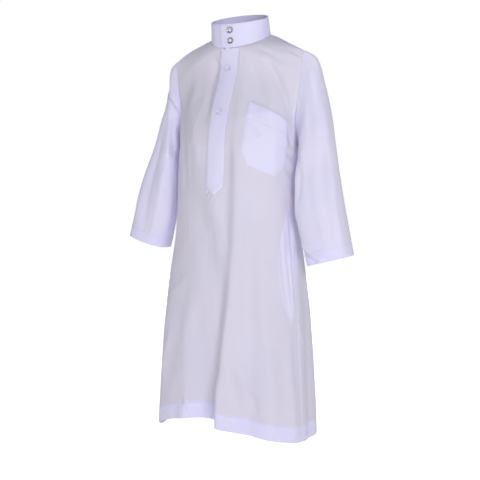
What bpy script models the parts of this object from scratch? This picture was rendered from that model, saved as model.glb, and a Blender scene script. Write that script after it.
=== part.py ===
"""A child's white thobe robe, filled out as worn, hollow and open at neck, cuffs and hem.

Metres, +Z up. The front faces -Y and the wearer's left is +X. The origin is the middle of
the neck seam, where the wearer's neck and shoulders carry the robe.
"""
import math
from collections import namedtuple

import bmesh
import bpy
from mathutils import Vector
from mathutils.bvhtree import BVHTree

# Cloth walls and the gaps between pieces
WALL = 0.0015
DOUBLED = 0.0024
INTERLINED = 0.0018
SEAM_GAP = 0.0004
SHOULDER_GAP = 0.0014
ARMHOLE_GAP = 0.0011
COLLAR_GAP = 0.0007
LAYER_GAP = 0.0006
MERGE = 0.00001

# Neck seam and stand collar
NECK_HALF_WIDTH = 0.057
NECK_HALF_DEPTH = 0.045
NECK_TILT = 0.0155
NECK_DIP = 0.0055
NECK_SHOULDER_ANGLE = math.radians(82)
COLLAR_TOP_HALF_WIDTH = 0.0550
COLLAR_TOP_HALF_DEPTH = 0.0430
COLLAR_TOP_FORWARD = 0.005
COLLAR_TOP_HEIGHT = 0.0336
COLLAR_TOP_TILT = 0.0125
OVERLAP_HALF = 0.018
LAP_START = 1.35 * math.pi
LAP_RUN = 0.45 * math.pi
COLLAR_COLUMNS = 44
COLLAR_ROWS = 3

# Heights of the body, measured from the neck seam, and how flat the yoke gets at the shoulder
ARMPIT_Z = -0.195
YOKE_FLATNESS = 0.75
YOKE_DROP_POWER = 1.2
SHOULDER_ROW = 0.7
HEM_BAND = 0.030
SLEEVE_HEM_BAND = 0.028

# Rows and columns of the walls
HALF_COLUMNS = 14
BACK_HALF_COLUMNS = 10
EDGE_COLUMN = 0.012
EDGE_ROW = 0.06
YOKE_ROWS = 13
NECK_ROW = 8
SKIRT_ROWS = 14
HEM_ROWS = 2
SLEEVE_SIDES = 20
SLEEVE_ROWS = 13

# Rings of the body below the armpits; seam_angle is where the side seam runs, from the front
Ring = namedtuple("Ring", "z half_width front back seam_angle")
RINGS = (
    Ring(-0.195, 0.1165, -0.089, 0.074, 99),
    Ring(-0.270, 0.1165, -0.094, 0.072, 93),
    Ring(-0.320, 0.1185, -0.096, 0.072, 89),
    Ring(-0.400, 0.1280, -0.100, 0.076, 81),
    Ring(-0.500, 0.1400, -0.106, 0.082, 76),
    Ring(-0.600, 0.1480, -0.112, 0.085, 75),
    Ring(-0.730, 0.1545, -0.119, 0.090, 75),
)

# The middle of the front and of the back above the armpits
Spine = namedtuple("Spine", "z y")
FRONT_SPINE = (
    Spine(-0.195, -0.089),
    Spine(-0.165, -0.084),
    Spine(-0.133, -0.075),
    Spine(-0.095, -0.060),
    Spine(-0.060, -0.047),
    Spine(-0.021, -0.045),
)
BACK_SPINE = (
    Spine(-0.195, 0.074),
    Spine(-0.140, 0.076),
    Spine(-0.085, 0.073),
    Spine(-0.035, 0.060),
    Spine(0.010, 0.045),
)

# Height of the bottom edge round the body: the chest lifts it in the middle of the front
Edge = namedtuple("Edge", "angle z")
BOTTOM_EDGE = (
    Edge(-180, -0.704),
    Edge(-120, -0.712),
    Edge(-78, -0.724),
    Edge(-50, -0.704),
    Edge(-25, -0.688),
    Edge(-4, -0.684),
    Edge(10, -0.690),
    Edge(35, -0.701),
    Edge(60, -0.711),
    Edge(78, -0.713),
    Edge(120, -0.711),
    Edge(180, -0.704),
)

# Folds of the skirt: where each runs, how far it stands out, and how wide each flank is
Fold = namedtuple("Fold", "hem_angle top_angle top_z full_z out right_flank left_flank")
FOLDS = (
    Fold(-55, -60, -0.30, -0.52, 0.006, 20, 18),
    Fold(-5, 8, -0.40, -0.73, -0.026, 22, 5),
    Fold(-24, -18, -0.55, -0.73, 0.006, 6, 7),
    Fold(8, 19, -0.19, -0.70, 0.008, 5, 11),
    Fold(29, 30, -0.36, -0.70, -0.006, 9, 8),
    Fold(45, 42, -0.30, -0.66, 0.006, 10, 11),
    Fold(66, 78, -0.26, -0.60, 0.003, 7, 5),
    Fold(92, 100, -0.30, -0.62, -0.007, 10, 8),
    Fold(114, 114, -0.26, -0.60, 0.003, 9, 10),
    Fold(137, 132, -0.34, -0.66, -0.009, 12, 10),
    Fold(163, 158, -0.22, -0.62, 0.009, 11, 12),
    Fold(-172, -174, -0.40, -0.70, -0.008, 10, 12),
    Fold(-146, -150, -0.22, -0.60, 0.010, 12, 10),
    Fold(-122, -124, -0.36, -0.66, -0.008, 9, 11),
    Fold(-98, -104, -0.28, -0.60, 0.006, 10, 9),
)

# Armhole of the wearer's left side: turn is 0 at the shoulder, 90 in front, 180 at the armpit
Armhole = namedtuple("Armhole", "turn x y z")
ARMHOLE = (
    Armhole(0, 0.1350, -0.008, -0.0345),
    Armhole(45, 0.1295, -0.013, -0.069),
    Armhole(90, 0.1225, -0.014, -0.115),
    Armhole(135, 0.1175, -0.009, -0.163),
    Armhole(180, 0.1151, 0.0052, -0.195),
    Armhole(225, 0.1185, 0.024, -0.172),
    Armhole(270, 0.1240, 0.034, -0.125),
    Armhole(315, 0.1310, 0.018, -0.064),
)

# Sections of the wearer's left sleeve: its outer and inner crease and half its thickness
Section = namedtuple("Section", "t out_x out_y out_z in_x in_y in_z half_depth")
SLEEVE = (
    Section(0.00, 0.137, 0.006, -0.040, 0.117, 0.004, -0.196, 0.028),
    Section(0.10, 0.157, 0.010, -0.053, 0.1235, 0.002, -0.200, 0.032),
    Section(0.20, 0.164, 0.013, -0.087, 0.1265, -0.004, -0.206, 0.032),
    Section(0.32, 0.172, 0.014, -0.124, 0.1280, -0.012, -0.219, 0.030),
    Section(0.44, 0.182, 0.010, -0.162, 0.128, -0.022, -0.238, 0.027),
    Section(0.58, 0.193, 0.003, -0.211, 0.129, -0.029, -0.264, 0.025),
    Section(0.76, 0.212, -0.012, -0.287, 0.130, -0.027, -0.322, 0.029),
    Section(0.90, 0.224, -0.015, -0.345, 0.141, -0.021, -0.372, 0.031),
    Section(1.00, 0.2320, -0.016, -0.386, 0.151, -0.018, -0.408, 0.032),
)
SLEEVE_BLEND = 0.40
SHOULDER_TILT = 0.041
SHOULDER_TILT_RUN = 0.12
SLEEVE_TILT_RUN = 0.7
SLEEVE_HEM_GAP = 0.0012
RIGHT_SLEEVE_LIFT = 0.012
RIGHT_CREASE_LIFT = 0.007
RIGHT_CREASE_TUCK = 0.013

# Soft creases of the sleeves: where, how far out, and their half length and half width
Crease = namedtuple("Crease", "t turn out length width")
SLEEVE_CREASES = (
    Crease(0.30, 95, -0.0030, 0.07, 24),
    Crease(0.40, 70, 0.0025, 0.08, 26),
    Crease(0.55, 110, -0.0025, 0.09, 26),
    Crease(0.72, 60, 0.0025, 0.12, 24),
    Crease(0.86, 120, -0.0025, 0.10, 26),
    Crease(0.45, 250, -0.0030, 0.09, 30),
    Crease(0.65, 285, 0.0025, 0.10, 26),
)

# Placket on the middle of the front
PLACKET_TOP = -0.0235
PLACKET_SHOULDER = -0.268
PLACKET_TIP = -0.283
PLACKET_HALF_TOP = 0.0185
PLACKET_HALF_FOOT = 0.0170
PLACKET_COLUMNS = 4
PLACKET_ROWS = 18

# Chest pocket on the wearer's left, its corners as a share across the front and a height
POCKET_TOP_IN = (0.277, -0.118)
POCKET_TOP_OUT = (0.785, -0.1545)
POCKET_FOOT_IN = (0.250, -0.226)
POCKET_FOOT_OUT = (0.690, -0.2555)
POCKET_CORNER = 0.020
POCKET_CORNER_SHARE = 0.31
POCKET_HEM = 0.0305
POCKET_TOP_ARCH = 0.002
POCKET_COLUMNS = 8
POCKET_HEM_ROWS = 2
POCKET_ROWS = 8

# Side pocket bags, hung inside the front beside each side seam
BAG_TOP = -0.300
BAG_FOOT = -0.500
BAG_WIDTH = 0.046
BAG_GAP = 0.0007
BAG_WALL = 0.0020
BAG_BELLY = (0.14, 0.90)
BAG_ROUNDNESS = 0.6
BAG_SEAM_ANGLE = 2.0
BAG_COLUMNS = 5
BAG_ROWS = 10

# Snap fasteners
SNAP_RADIUS = 0.0060
SNAP_HEIGHT = 0.0016
SNAP_SIDES = 20
# The ring's profile, as shares of its radius and its height
Turned = namedtuple("Turned", "radius height")
SNAP_PROFILE = (
    Turned(0.40, 0.0),
    Turned(0.40, 0.45),
    Turned(0.72, 0.55),
    Turned(0.84, 1.0),
    Turned(0.96, 0.85),
    Turned(1.0, 0.0),
)
COLLAR_SNAP_TURN = 0.10
COLLAR_SNAPS = (("collar_snap_upper", 0.74), ("collar_snap_lower", 0.30))
PLACKET_SNAP_X = 0.001
PLACKET_SNAPS = (("placket_snap_upper", -0.058), ("placket_snap_lower", -0.137))

# Steps used where a slope is measured on a surface
PROBE_REACH = 0.004
PROBE_OFF_EDGE = 0.00003
SLOPE_SHARE = 0.01
SLOPE_HEIGHT = 0.0025
COLLAR_SLOPE_SHARE = 0.004
HALVINGS = 24


def remove_objects():
    """Start from an empty scene."""
    for found in list(bpy.data.objects):
        bpy.data.objects.remove(found)


def make_collection(name):
    """One collection, linked to the scene."""
    made = bpy.data.collections.new(name)
    bpy.context.scene.collection.children.link(made)
    return made


def make_material(name, colour, roughness, metallic=0.0):
    """A plain finish with the piece's colour."""
    material = bpy.data.materials.new(name)
    material.use_nodes = True
    shader = material.node_tree.nodes["Principled BSDF"]
    shader.inputs["Base Color"].default_value = (*colour, 1.0)
    shader.inputs["Roughness"].default_value = roughness
    shader.inputs["Metallic"].default_value = metallic
    return material


def mix(first, second, share):
    """Straight mix of two numbers or vectors."""
    return first + (second - first) * share


def smooth(share):
    """Ease from 0 to 1 with level ends."""
    share = min(max(share, 0.0), 1.0)
    return share * share * (3 - 2 * share)


def spline(before, first, second, after, share):
    """Smooth curve from first to second, steered by the neighbours."""
    a = 2 * first
    b = second - before
    c = 2 * before - 5 * first + 4 * second - after
    d = 3 * first - before - 3 * second + after
    return 0.5 * (a + b * share + c * share ** 2 + d * share ** 3)


def read_table(rows, key, column, place, period=None):
    """Value of a table's column at a place along its key, on a smooth curve."""
    keys = [getattr(row, key) for row in rows]
    values = [getattr(row, column) for row in rows]
    if period:
        place = place % period
        keys = [keys[-1] - period] + keys + [keys[0] + period, keys[1] + period]
        values = [values[-1]] + values + [values[0], values[1]]
    falling = keys[-1] < keys[0]
    last = len(keys) - 2
    index = 0
    while index < last and (keys[index + 1] > place if falling else keys[index + 1] < place):
        index += 1
    share = (place - keys[index]) / (keys[index + 1] - keys[index])
    share = min(max(share, 0.0), 1.0)
    before = values[max(index - 1, 0)]
    after = values[min(index + 2, len(values) - 1)]
    return spline(before, values[index], values[index + 1], after, share)


def wrap_angle(angle):
    """An angle in degrees, brought between -180 and 180."""
    return (angle + 180) % 360 - 180


def fold_offset(angle, z):
    """How far the folds move the skirt outwards at an angle and a height."""
    total = 0.0
    for fold in FOLDS:
        share = smooth((fold.top_z - z) / (fold.top_z - fold.full_z))
        if share > 0:
            centre = fold.top_angle + wrap_angle(fold.hem_angle - fold.top_angle) * share
            away = wrap_angle(angle - centre)
            flank = fold.right_flank if away < 0 else fold.left_flank
            total += fold.out * share * math.exp(-(away / flank) ** 2)
    return total


def ring_point(angle, z, inward=0.0):
    """Point on the body's outer face below the armpits."""
    half_width = read_table(RINGS, "z", "half_width", z)
    front = read_table(RINGS, "z", "front", z)
    back = read_table(RINGS, "z", "back", z)
    half_depth = (back - front) / 2
    turn = math.radians(angle)
    place = Vector((half_width * math.sin(turn), (front + back) / 2 - half_depth * math.cos(turn), z))
    out = Vector((half_depth * math.sin(turn), -half_width * math.cos(turn), 0)).normalized()
    return place + out * (fold_offset(angle, z) - inward)


def seam_angle(z):
    """Angle of the side seams at a height."""
    return read_table(RINGS, "z", "seam_angle", z)


def seam_step(z):
    """Angle that half the seam gap covers."""
    return math.degrees(SEAM_GAP / 2 / read_table(RINGS, "z", "half_width", z))


def bottom_z(angle):
    """Height of the bottom edge at an angle."""
    return read_table(BOTTOM_EDGE, "angle", "z", wrap_angle(angle))


def armhole_point(turn, side):
    """Point of the armhole seam."""
    x, y, z = (read_table(ARMHOLE, "turn", column, turn, 360) for column in ("x", "y", "z"))
    z += SHOULDER_TILT * side * x * smooth((z - ARMPIT_Z) / SHOULDER_TILT_RUN)
    return Vector((side * x, y, z))


def neck_point(angle):
    """Point of the neck seam at an angle from the front, in radians."""
    lean = math.cos(angle)
    lift = -NECK_TILT * lean - NECK_DIP * lean ** 2
    return Vector((NECK_HALF_WIDTH * math.sin(angle), -NECK_HALF_DEPTH * lean, lift))


def collar_top(angle):
    """Point of the collar's top edge at an angle from the front, in radians."""
    lean = math.cos(angle)
    return Vector((COLLAR_TOP_HALF_WIDTH * math.sin(angle),
                   -COLLAR_TOP_HALF_DEPTH * lean - COLLAR_TOP_FORWARD,
                   COLLAR_TOP_HEIGHT - COLLAR_TOP_TILT * lean))


def yoke_ends(row, back, side):
    """Inner and outer end of a row between the armpits and the shoulder seam."""
    neck_start = NECK_ROW / YOKE_ROWS
    spine = BACK_SPINE if back else FRONT_SPINE
    top = spine[-1].z
    if row <= neck_start:
        z = mix(ARMPIT_Z, top, row / neck_start)
        inner = Vector((0, read_table(spine, "z", "y", z), z))
    else:
        share = (row - neck_start) / (1 - neck_start)
        start = math.pi if back else 0.0
        angle = mix(start, NECK_SHOULDER_ANGLE, share)
        inner = neck_point(angle)
        inner.x *= side
    turn = 180 + 180 * row if back else 180 - 180 * row
    outer = armhole_point(turn, side)
    gap = SHOULDER_GAP / 2 * smooth((row - SHOULDER_ROW) / (1 - SHOULDER_ROW))
    step = Vector((0, gap if back else -gap, 0))
    return inner + step, outer + step


def yoke_point(across, row, back, side):
    """Point between the armpits and the shoulder: across is 0 in the middle, 1 at the armhole."""
    inner, outer = yoke_ends(row, back, side)
    seam = math.radians(seam_angle(ARMPIT_Z) - seam_step(ARMPIT_Z))
    reach = math.pi - seam if back else seam
    round_x = math.sin(across * reach) / math.sin(reach)
    round_y = (math.cos(across * reach) - math.cos(reach)) / (1 - math.cos(reach))
    flat = YOKE_FLATNESS * smooth(row)
    share_x = mix(round_x, across, flat)
    share_y = mix(1 - round_y, across, flat)
    x = mix(inner.x, outer.x, share_x)
    y = mix(inner.y, outer.y, share_y)
    z = mix(inner.z, outer.z, across ** YOKE_DROP_POWER)
    return Vector((x, y, z))


def panel_point(across, down, back, side):
    """Outer face of a panel: across 0 to 1, down -1 at the shoulder, 0 at the armpit, 1 at the foot."""
    if down < 0:
        return yoke_point(across, -down, back, side)
    start_z = ARMPIT_Z
    rough = mix(start_z, bottom_z(0), down)
    seam = seam_angle(rough) + (seam_step(rough) if back else -seam_step(rough))
    angle = side * (180 - across * (180 - seam)) if back else side * across * seam
    foot = bottom_z(angle) + HEM_BAND
    z = mix(start_z, foot, down)
    return ring_point(angle, z)


def band_point(across, down, back):
    """Outer face of the bottom hem: across -1 to 1, down 0 at its stitched edge, 1 at the bottom."""
    side = 1 if across >= 0 else -1
    rough = bottom_z(0) + HEM_BAND * (1 - down)
    seam = seam_angle(rough) + (seam_step(rough) if back else -seam_step(rough))
    share = abs(across)
    angle = side * (180 - share * (180 - seam)) if back else side * share * seam
    foot = bottom_z(angle)
    return ring_point(angle, mix(foot + HEM_BAND - SEAM_GAP, foot, down))


def sleeve_section(t, turn, side):
    """Point of the plain sleeve tube: turn 0 on the outer crease, 90 in front."""
    read = {name: read_table(SLEEVE, "t", name, t) for name in Section._fields[1:]}
    outer = Vector((read["out_x"], read["out_y"], read["out_z"]))
    inner = Vector((read["in_x"], read["in_y"], read["in_z"]))
    major = (outer - inner) / 2
    along = major.normalized()
    forward = Vector((0, -1, 0))
    forward = (forward - along * forward.dot(along)).normalized()
    angle = math.radians(turn)
    swell = 1.0
    for crease in SLEEVE_CREASES:
        away = (wrap_angle(turn - crease.turn) / crease.width) ** 2 + ((t - crease.t) / crease.length) ** 2
        swell += crease.out / read["half_depth"] * math.exp(-away)
    place = (outer + inner) / 2 + major * math.cos(angle)
    place += forward * read["half_depth"] * math.sin(angle) * swell
    outer_share = (1 + math.cos(angle)) / 2
    if side < 0:
        place.z += RIGHT_SLEEVE_LIFT * smooth(t) + RIGHT_CREASE_LIFT * t * outer_share
        place.x -= RIGHT_CREASE_TUCK * outer_share * math.sin(math.pi * t)
    place.z += SHOULDER_TILT * side * place.x * outer_share * (1 - smooth(t / SLEEVE_TILT_RUN))
    place.x *= side
    return place


def sleeve_point(t, turn, side):
    """Outer face of a sleeve, from the armhole seam at t 0 to the cuff at t 1."""
    place = sleeve_section(t, turn, side)
    start = armhole_point(turn, side) + Vector((side * ARMHOLE_GAP, 0, 0))
    miss = start - sleeve_section(0, turn, side)
    return place + miss * (1 - smooth(t / SLEEVE_BLEND))


def add_piece(name, mesh_maker, thickness, material, collection, flip=False):
    """Make one cloth piece: an open surface that Solidify turns into a wall, inwards."""
    surface = bmesh.new()
    mesh_maker(surface)
    bmesh.ops.remove_doubles(surface, verts=surface.verts, dist=MERGE)
    if flip:
        bmesh.ops.reverse_faces(surface, faces=surface.faces)
    mesh = bpy.data.meshes.new(name)
    surface.to_mesh(mesh)
    surface.free()
    piece = bpy.data.objects.new(name, mesh)
    collection.objects.link(piece)
    mesh.materials.append(material)
    mesh.shade_smooth()
    wall = piece.modifiers.new("Wall", "SOLIDIFY")
    wall.thickness = thickness
    wall.offset = -1
    wall.use_even_offset = True
    return piece


def lay_grid(surface, columns, rows, place):
    """A grid of faces whose corners the place function sets from two shares of 0 to 1."""
    made = bmesh.ops.create_grid(surface, x_segments=columns, y_segments=rows, size=0.5)
    for vertex in made["verts"]:
        vertex.co = place(vertex.co.x + 0.5, vertex.co.y + 0.5)
    return made["verts"]


def edge_share(share, columns, edge=EDGE_COLUMN):
    """A share across, with the last column narrow, so that both walls meet a seam alike."""
    column = share * columns
    if column <= columns - 1:
        return column / (columns - 1) * (1 - edge)
    return mix(1 - edge, 1, column - (columns - 1))


def yoke_row(up):
    """A share up the yoke, with the row below the shoulder seam narrow."""
    start = NECK_ROW / YOKE_ROWS
    if up <= start:
        return up
    return mix(start, 1, edge_share((up - start) / (1 - start), YOKE_ROWS - NECK_ROW, EDGE_ROW))


def lay_panel(surface, back):
    """Both halves of the front or back, welded down the middle."""
    columns = BACK_HALF_COLUMNS if back else HALF_COLUMNS
    for side in (1, -1):
        def yoke(across, up, side=side):
            across = across if side > 0 else 1 - across
            return panel_point(edge_share(across, columns), -yoke_row(up), back, side)

        def skirt(across, up, side=side):
            across = across if side > 0 else 1 - across
            return panel_point(edge_share(across, columns), 1 - up, back, side)

        lay_grid(surface, columns, YOKE_ROWS, yoke)
        lay_grid(surface, columns, SKIRT_ROWS, skirt)


def lay_band(surface, back):
    """The bottom hem of one panel."""
    columns = BACK_HALF_COLUMNS if back else HALF_COLUMNS

    def place(across, up):
        across = 2 * across - 1
        across = math.copysign(edge_share(abs(across), columns), across)
        return band_point(across, 1 - up, back)

    lay_grid(surface, 2 * columns, HEM_ROWS, place)


def sleeve_hem_start():
    """Share of the sleeve where its turned-up hem begins."""
    cuff = SLEEVE[-1]
    before = SLEEVE[-2]
    run = math.dist((cuff.out_x, cuff.out_z), (before.out_x, before.out_z))
    return 1 - SLEEVE_HEM_BAND * (cuff.t - before.t) / run


def lay_tube(surface, side, start, end, rows):
    """A stretch of sleeve between two shares of its length."""
    lay_grid(surface, SLEEVE_SIDES, rows,
             lambda round_share, up: sleeve_point(mix(end, start, up), 360 * round_share, side))


def collar_place(share, up):
    """Outer face of the collar: share runs from the hidden right end round to the top left end."""
    end_angle = math.asin(OVERLAP_HALF / NECK_HALF_WIDTH)
    angle = end_angle - share * (2 * math.pi + 2 * end_angle)
    lap = smooth((-angle - LAP_START) / LAP_RUN)
    out = lap * (INTERLINED + LAYER_GAP)
    base = neck_point(angle) + Vector((0, 0, COLLAR_GAP))
    away = Vector((math.sin(angle) * NECK_HALF_DEPTH, -math.cos(angle) * NECK_HALF_WIDTH, 0)).normalized()
    return mix(base, collar_top(angle), up) + away * out


def lay_collar(surface):
    """The collar strip, from end to end."""
    lay_grid(surface, COLLAR_COLUMNS, COLLAR_ROWS, lambda share, up: collar_place(1 - share, up))


def face_tree(piece):
    """Search tree of a piece's outer face."""
    return BVHTree.FromPolygons([vertex.co.copy() for vertex in piece.data.vertices],
                                [tuple(face.vertices) for face in piece.data.polygons])


def on_front(tree, x, z, out):
    """Point of the front panel at x and z, moved out along the panel's own slope."""
    def hit(across, height):
        start = Vector((across + PROBE_OFF_EDGE, -1, height + PROBE_OFF_EDGE))
        return tree.ray_cast(start, Vector((0, 1, 0)))[0]

    middle = hit(x, z)
    right = hit(x - PROBE_REACH, z) or middle
    left = hit(x + PROBE_REACH, z) or middle
    below = hit(x, z - PROBE_REACH) or middle
    above = hit(x, z + PROBE_REACH) or middle
    slope = (left - right).cross(above - below).normalized()
    return middle + slope * out


def lay_placket(surface, tree):
    """The placket, down the middle of the front to its pointed end."""
    out = LAYER_GAP + INTERLINED

    def place(across, up):
        side = 2 * across - 1
        length = PLACKET_TOP - PLACKET_SHOULDER
        z = mix(PLACKET_SHOULDER, PLACKET_TOP, up)
        if up == 0:
            z -= (PLACKET_SHOULDER - PLACKET_TIP) * (1 - abs(side))
        half = mix(PLACKET_HALF_TOP, PLACKET_HALF_FOOT, (PLACKET_TOP - z) / length)
        return on_front(tree, side * half, z, out)

    lay_grid(surface, PLACKET_COLUMNS, PLACKET_ROWS, place)


def front_at(across, z):
    """Point of the wearer's left front at a share across and a height."""
    low, high = -1.0, 1.0
    for _ in range(HALVINGS):
        down = (low + high) / 2
        if panel_point(across, down, False, 1).z > z:
            low = down
        else:
            high = down
    return panel_point(across, low, False, 1)


def off_front(across, z, out):
    """The same point, moved out along the panel's own slope."""
    place = front_at(across, z)
    sideways = front_at(across + SLOPE_SHARE, z) - front_at(across - SLOPE_SHARE, z)
    upwards = front_at(across, z + SLOPE_HEIGHT) - front_at(across, z - SLOPE_HEIGHT)
    return place + sideways.cross(upwards).normalized() * out


def pocket_place(across, down):
    """Share across the front and height of two shares of the chest pocket."""
    top_across = mix(POCKET_TOP_IN[0], POCKET_TOP_OUT[0], across)
    top_z = mix(POCKET_TOP_IN[1], POCKET_TOP_OUT[1], across)
    top_z += POCKET_TOP_ARCH * 4 * across * (1 - across)
    foot_across = mix(POCKET_FOOT_IN[0], POCKET_FOOT_OUT[0], across)
    foot_z = mix(POCKET_FOOT_IN[1], POCKET_FOOT_OUT[1], across)
    return mix(top_across, foot_across, down), mix(top_z, foot_z, down)


def lay_pocket(surface, start, end, rows, thickness):
    """A stretch of the chest pocket between two shares of its height."""
    out = LAYER_GAP + thickness
    height = POCKET_TOP_IN[1] - POCKET_FOOT_IN[1]

    def place(across, up):
        down = mix(end, start, up)
        cut = (down - 1) * height + POCKET_CORNER
        if cut > 0:
            across = mix(across, 0.5, cut / POCKET_CORNER * POCKET_CORNER_SHARE)
        return off_front(*pocket_place(across, down), out)

    lay_grid(surface, POCKET_COLUMNS, rows, place)


def lay_bag(surface, side):
    """A side pocket bag, behind the front panel and beside the seam."""
    inward = WALL + BAG_GAP

    def place(across, up):
        z = mix(BAG_FOOT, BAG_TOP, up)
        belly = math.sin(math.pi * mix(*BAG_BELLY, up)) ** BAG_ROUNDNESS
        half_width = read_table(RINGS, "z", "half_width", z)
        span = math.degrees(BAG_WIDTH * belly / half_width)
        edge = seam_angle(z) - BAG_SEAM_ANGLE
        return ring_point(side * (edge - span * (1 - across)), z, inward)

    lay_grid(surface, BAG_COLUMNS, BAG_ROWS, place)
    if side < 0:
        bmesh.ops.reverse_faces(surface, faces=surface.faces)


def add_snap(name, place, facing, material, collection):
    """A ring snap: a turned profile, stood on its place and facing out."""
    ring = bmesh.new()
    corners = [ring.verts.new((turned.radius * SNAP_RADIUS, 0, turned.height * SNAP_HEIGHT))
               for turned in SNAP_PROFILE]
    edges = [ring.edges.new(pair) for pair in zip(corners, corners[1:] + corners[:1])]
    bmesh.ops.spin(ring, geom=corners + edges, axis=(0, 0, 1), cent=(0, 0, 0),
                   angle=2 * math.pi, steps=SNAP_SIDES, use_merge=True)
    bmesh.ops.remove_doubles(ring, verts=ring.verts, dist=MERGE)
    bmesh.ops.recalc_face_normals(ring, faces=ring.faces)
    mesh = bpy.data.meshes.new(name)
    ring.to_mesh(mesh)
    ring.free()
    mesh.shade_smooth()
    mesh.materials.append(material)
    snap = bpy.data.objects.new(name, mesh)
    collection.objects.link(snap)
    snap.location = place
    snap.rotation_mode = "QUATERNION"
    snap.rotation_quaternion = Vector((0, 0, 1)).rotation_difference(facing)
    return snap


def add_collar_snaps(material, collection):
    """Two snaps up the lapped end of the collar."""
    end_angle = math.asin(OVERLAP_HALF / NECK_HALF_WIDTH)
    whole = 2 * math.pi + 2 * end_angle
    share = (end_angle + 2 * math.pi - COLLAR_SNAP_TURN) / whole
    step = COLLAR_SLOPE_SHARE
    for name, up in COLLAR_SNAPS:
        place = collar_place(share, up)
        sideways = collar_place(share + step, up) - collar_place(share - step, up)
        upwards = collar_place(share, up + step) - collar_place(share, up - step)
        facing = upwards.cross(sideways).normalized()
        if facing.y > 0:
            facing = -facing
        add_snap(name, place + facing * LAYER_GAP, facing, material, collection)


def add_placket_snaps(tree, material, collection):
    """Two snaps on the placket."""
    out = LAYER_GAP + INTERLINED
    for name, z in PLACKET_SNAPS:
        place = on_front(tree, PLACKET_SNAP_X, z, out)
        facing = (on_front(tree, PLACKET_SNAP_X, z, out + LAYER_GAP) - place).normalized()
        add_snap(name, place + facing * LAYER_GAP, facing, material, collection)


def build():
    """Make every piece of the robe."""
    remove_objects()
    robe = make_collection("thobe_robe")
    sheer = make_material("sheer_cloth", (0.72, 0.71, 0.78), 0.62)
    firm = make_material("interlined_cloth", (0.78, 0.77, 0.88), 0.6)
    metal = make_material("snap_metal", (0.55, 0.55, 0.60), 0.35, 0.85)

    front = add_piece("front_panel", lambda made: lay_panel(made, False), WALL, sheer, robe)
    add_piece("back_panel", lambda made: lay_panel(made, True), WALL, sheer, robe, True)
    add_piece("front_hem", lambda made: lay_band(made, False), DOUBLED, firm, robe)
    add_piece("back_hem", lambda made: lay_band(made, True), DOUBLED, firm, robe, True)

    hem_start = sleeve_hem_start()
    for word, side in (("left", 1), ("right", -1)):
        flip = side > 0
        add_piece(f"sleeve_{word}",
                  lambda made: lay_tube(made, side, 0.0, hem_start, SLEEVE_ROWS),
                  WALL, sheer, robe, flip)
        add_piece(f"sleeve_hem_{word}",
                  lambda made: lay_tube(made, side, hem_start + SLEEVE_HEM_GAP, 1.0, HEM_ROWS),
                  DOUBLED, firm, robe, flip)
        add_piece(f"side_pocket_{word}", lambda made: lay_bag(made, side), BAG_WALL, firm, robe)

    add_piece("collar", lay_collar, INTERLINED, firm, robe)
    tree = face_tree(front)
    add_piece("placket", lambda made: lay_placket(made, tree), INTERLINED, firm, robe)
    height = POCKET_TOP_IN[1] - POCKET_FOOT_IN[1]
    split = POCKET_HEM / height
    step = SEAM_GAP / height
    add_piece("chest_pocket_hem", lambda made: lay_pocket(made, 0.0, split, POCKET_HEM_ROWS, DOUBLED),
              DOUBLED, firm, robe)
    add_piece("chest_pocket", lambda made: lay_pocket(made, split + step, 1.0, POCKET_ROWS, WALL),
              WALL, firm, robe)
    add_collar_snaps(metal, robe)
    add_placket_snaps(tree, metal, robe)


build()
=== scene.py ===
import math
from collections import namedtuple

import bmesh
import bpy
import numpy as np
from mathutils import Matrix, Vector
from mathutils.bvhtree import BVHTree


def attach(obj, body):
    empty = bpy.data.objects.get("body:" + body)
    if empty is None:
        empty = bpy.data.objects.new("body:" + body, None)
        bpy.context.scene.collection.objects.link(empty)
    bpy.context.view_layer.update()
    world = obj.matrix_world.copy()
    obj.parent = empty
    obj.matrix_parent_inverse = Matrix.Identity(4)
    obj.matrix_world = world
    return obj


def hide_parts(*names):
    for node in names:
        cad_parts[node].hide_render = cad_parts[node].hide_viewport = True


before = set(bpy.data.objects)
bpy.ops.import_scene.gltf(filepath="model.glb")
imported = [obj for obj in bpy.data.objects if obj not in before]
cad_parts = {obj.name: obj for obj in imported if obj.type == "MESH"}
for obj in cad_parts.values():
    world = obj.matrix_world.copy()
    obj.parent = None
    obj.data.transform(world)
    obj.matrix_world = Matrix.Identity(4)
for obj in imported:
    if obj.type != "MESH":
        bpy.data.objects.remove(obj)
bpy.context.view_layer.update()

# Cloth thicknesses, and the gaps between layers
CLOTH = 0.0007
DOUBLED = 0.0016
INTERLINED = 0.0018
COLLAR_WALL = INTERLINED - 0.0004
PLACKET_WALL = INTERLINED - 0.0006
POCKET_WALL = 0.0012
LAYER_GAP = 0.0006
POCKET_LIFT = 0.0021
POCKET_HEM_LIFT = 0.0030
MERGE = 0.00001

# Seams and stitched lines, as dents in the cloth
SEAM_GROOVE = 0.0007
SEAM_GROOVE_WIDTH = 0.0022
YOKE_GROOVE_SHARE = 0.3
STITCH_DENT = 0.0003
STITCH_DENT_WIDTH = 0.0008
EDGE_STITCH = 0.0028

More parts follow.
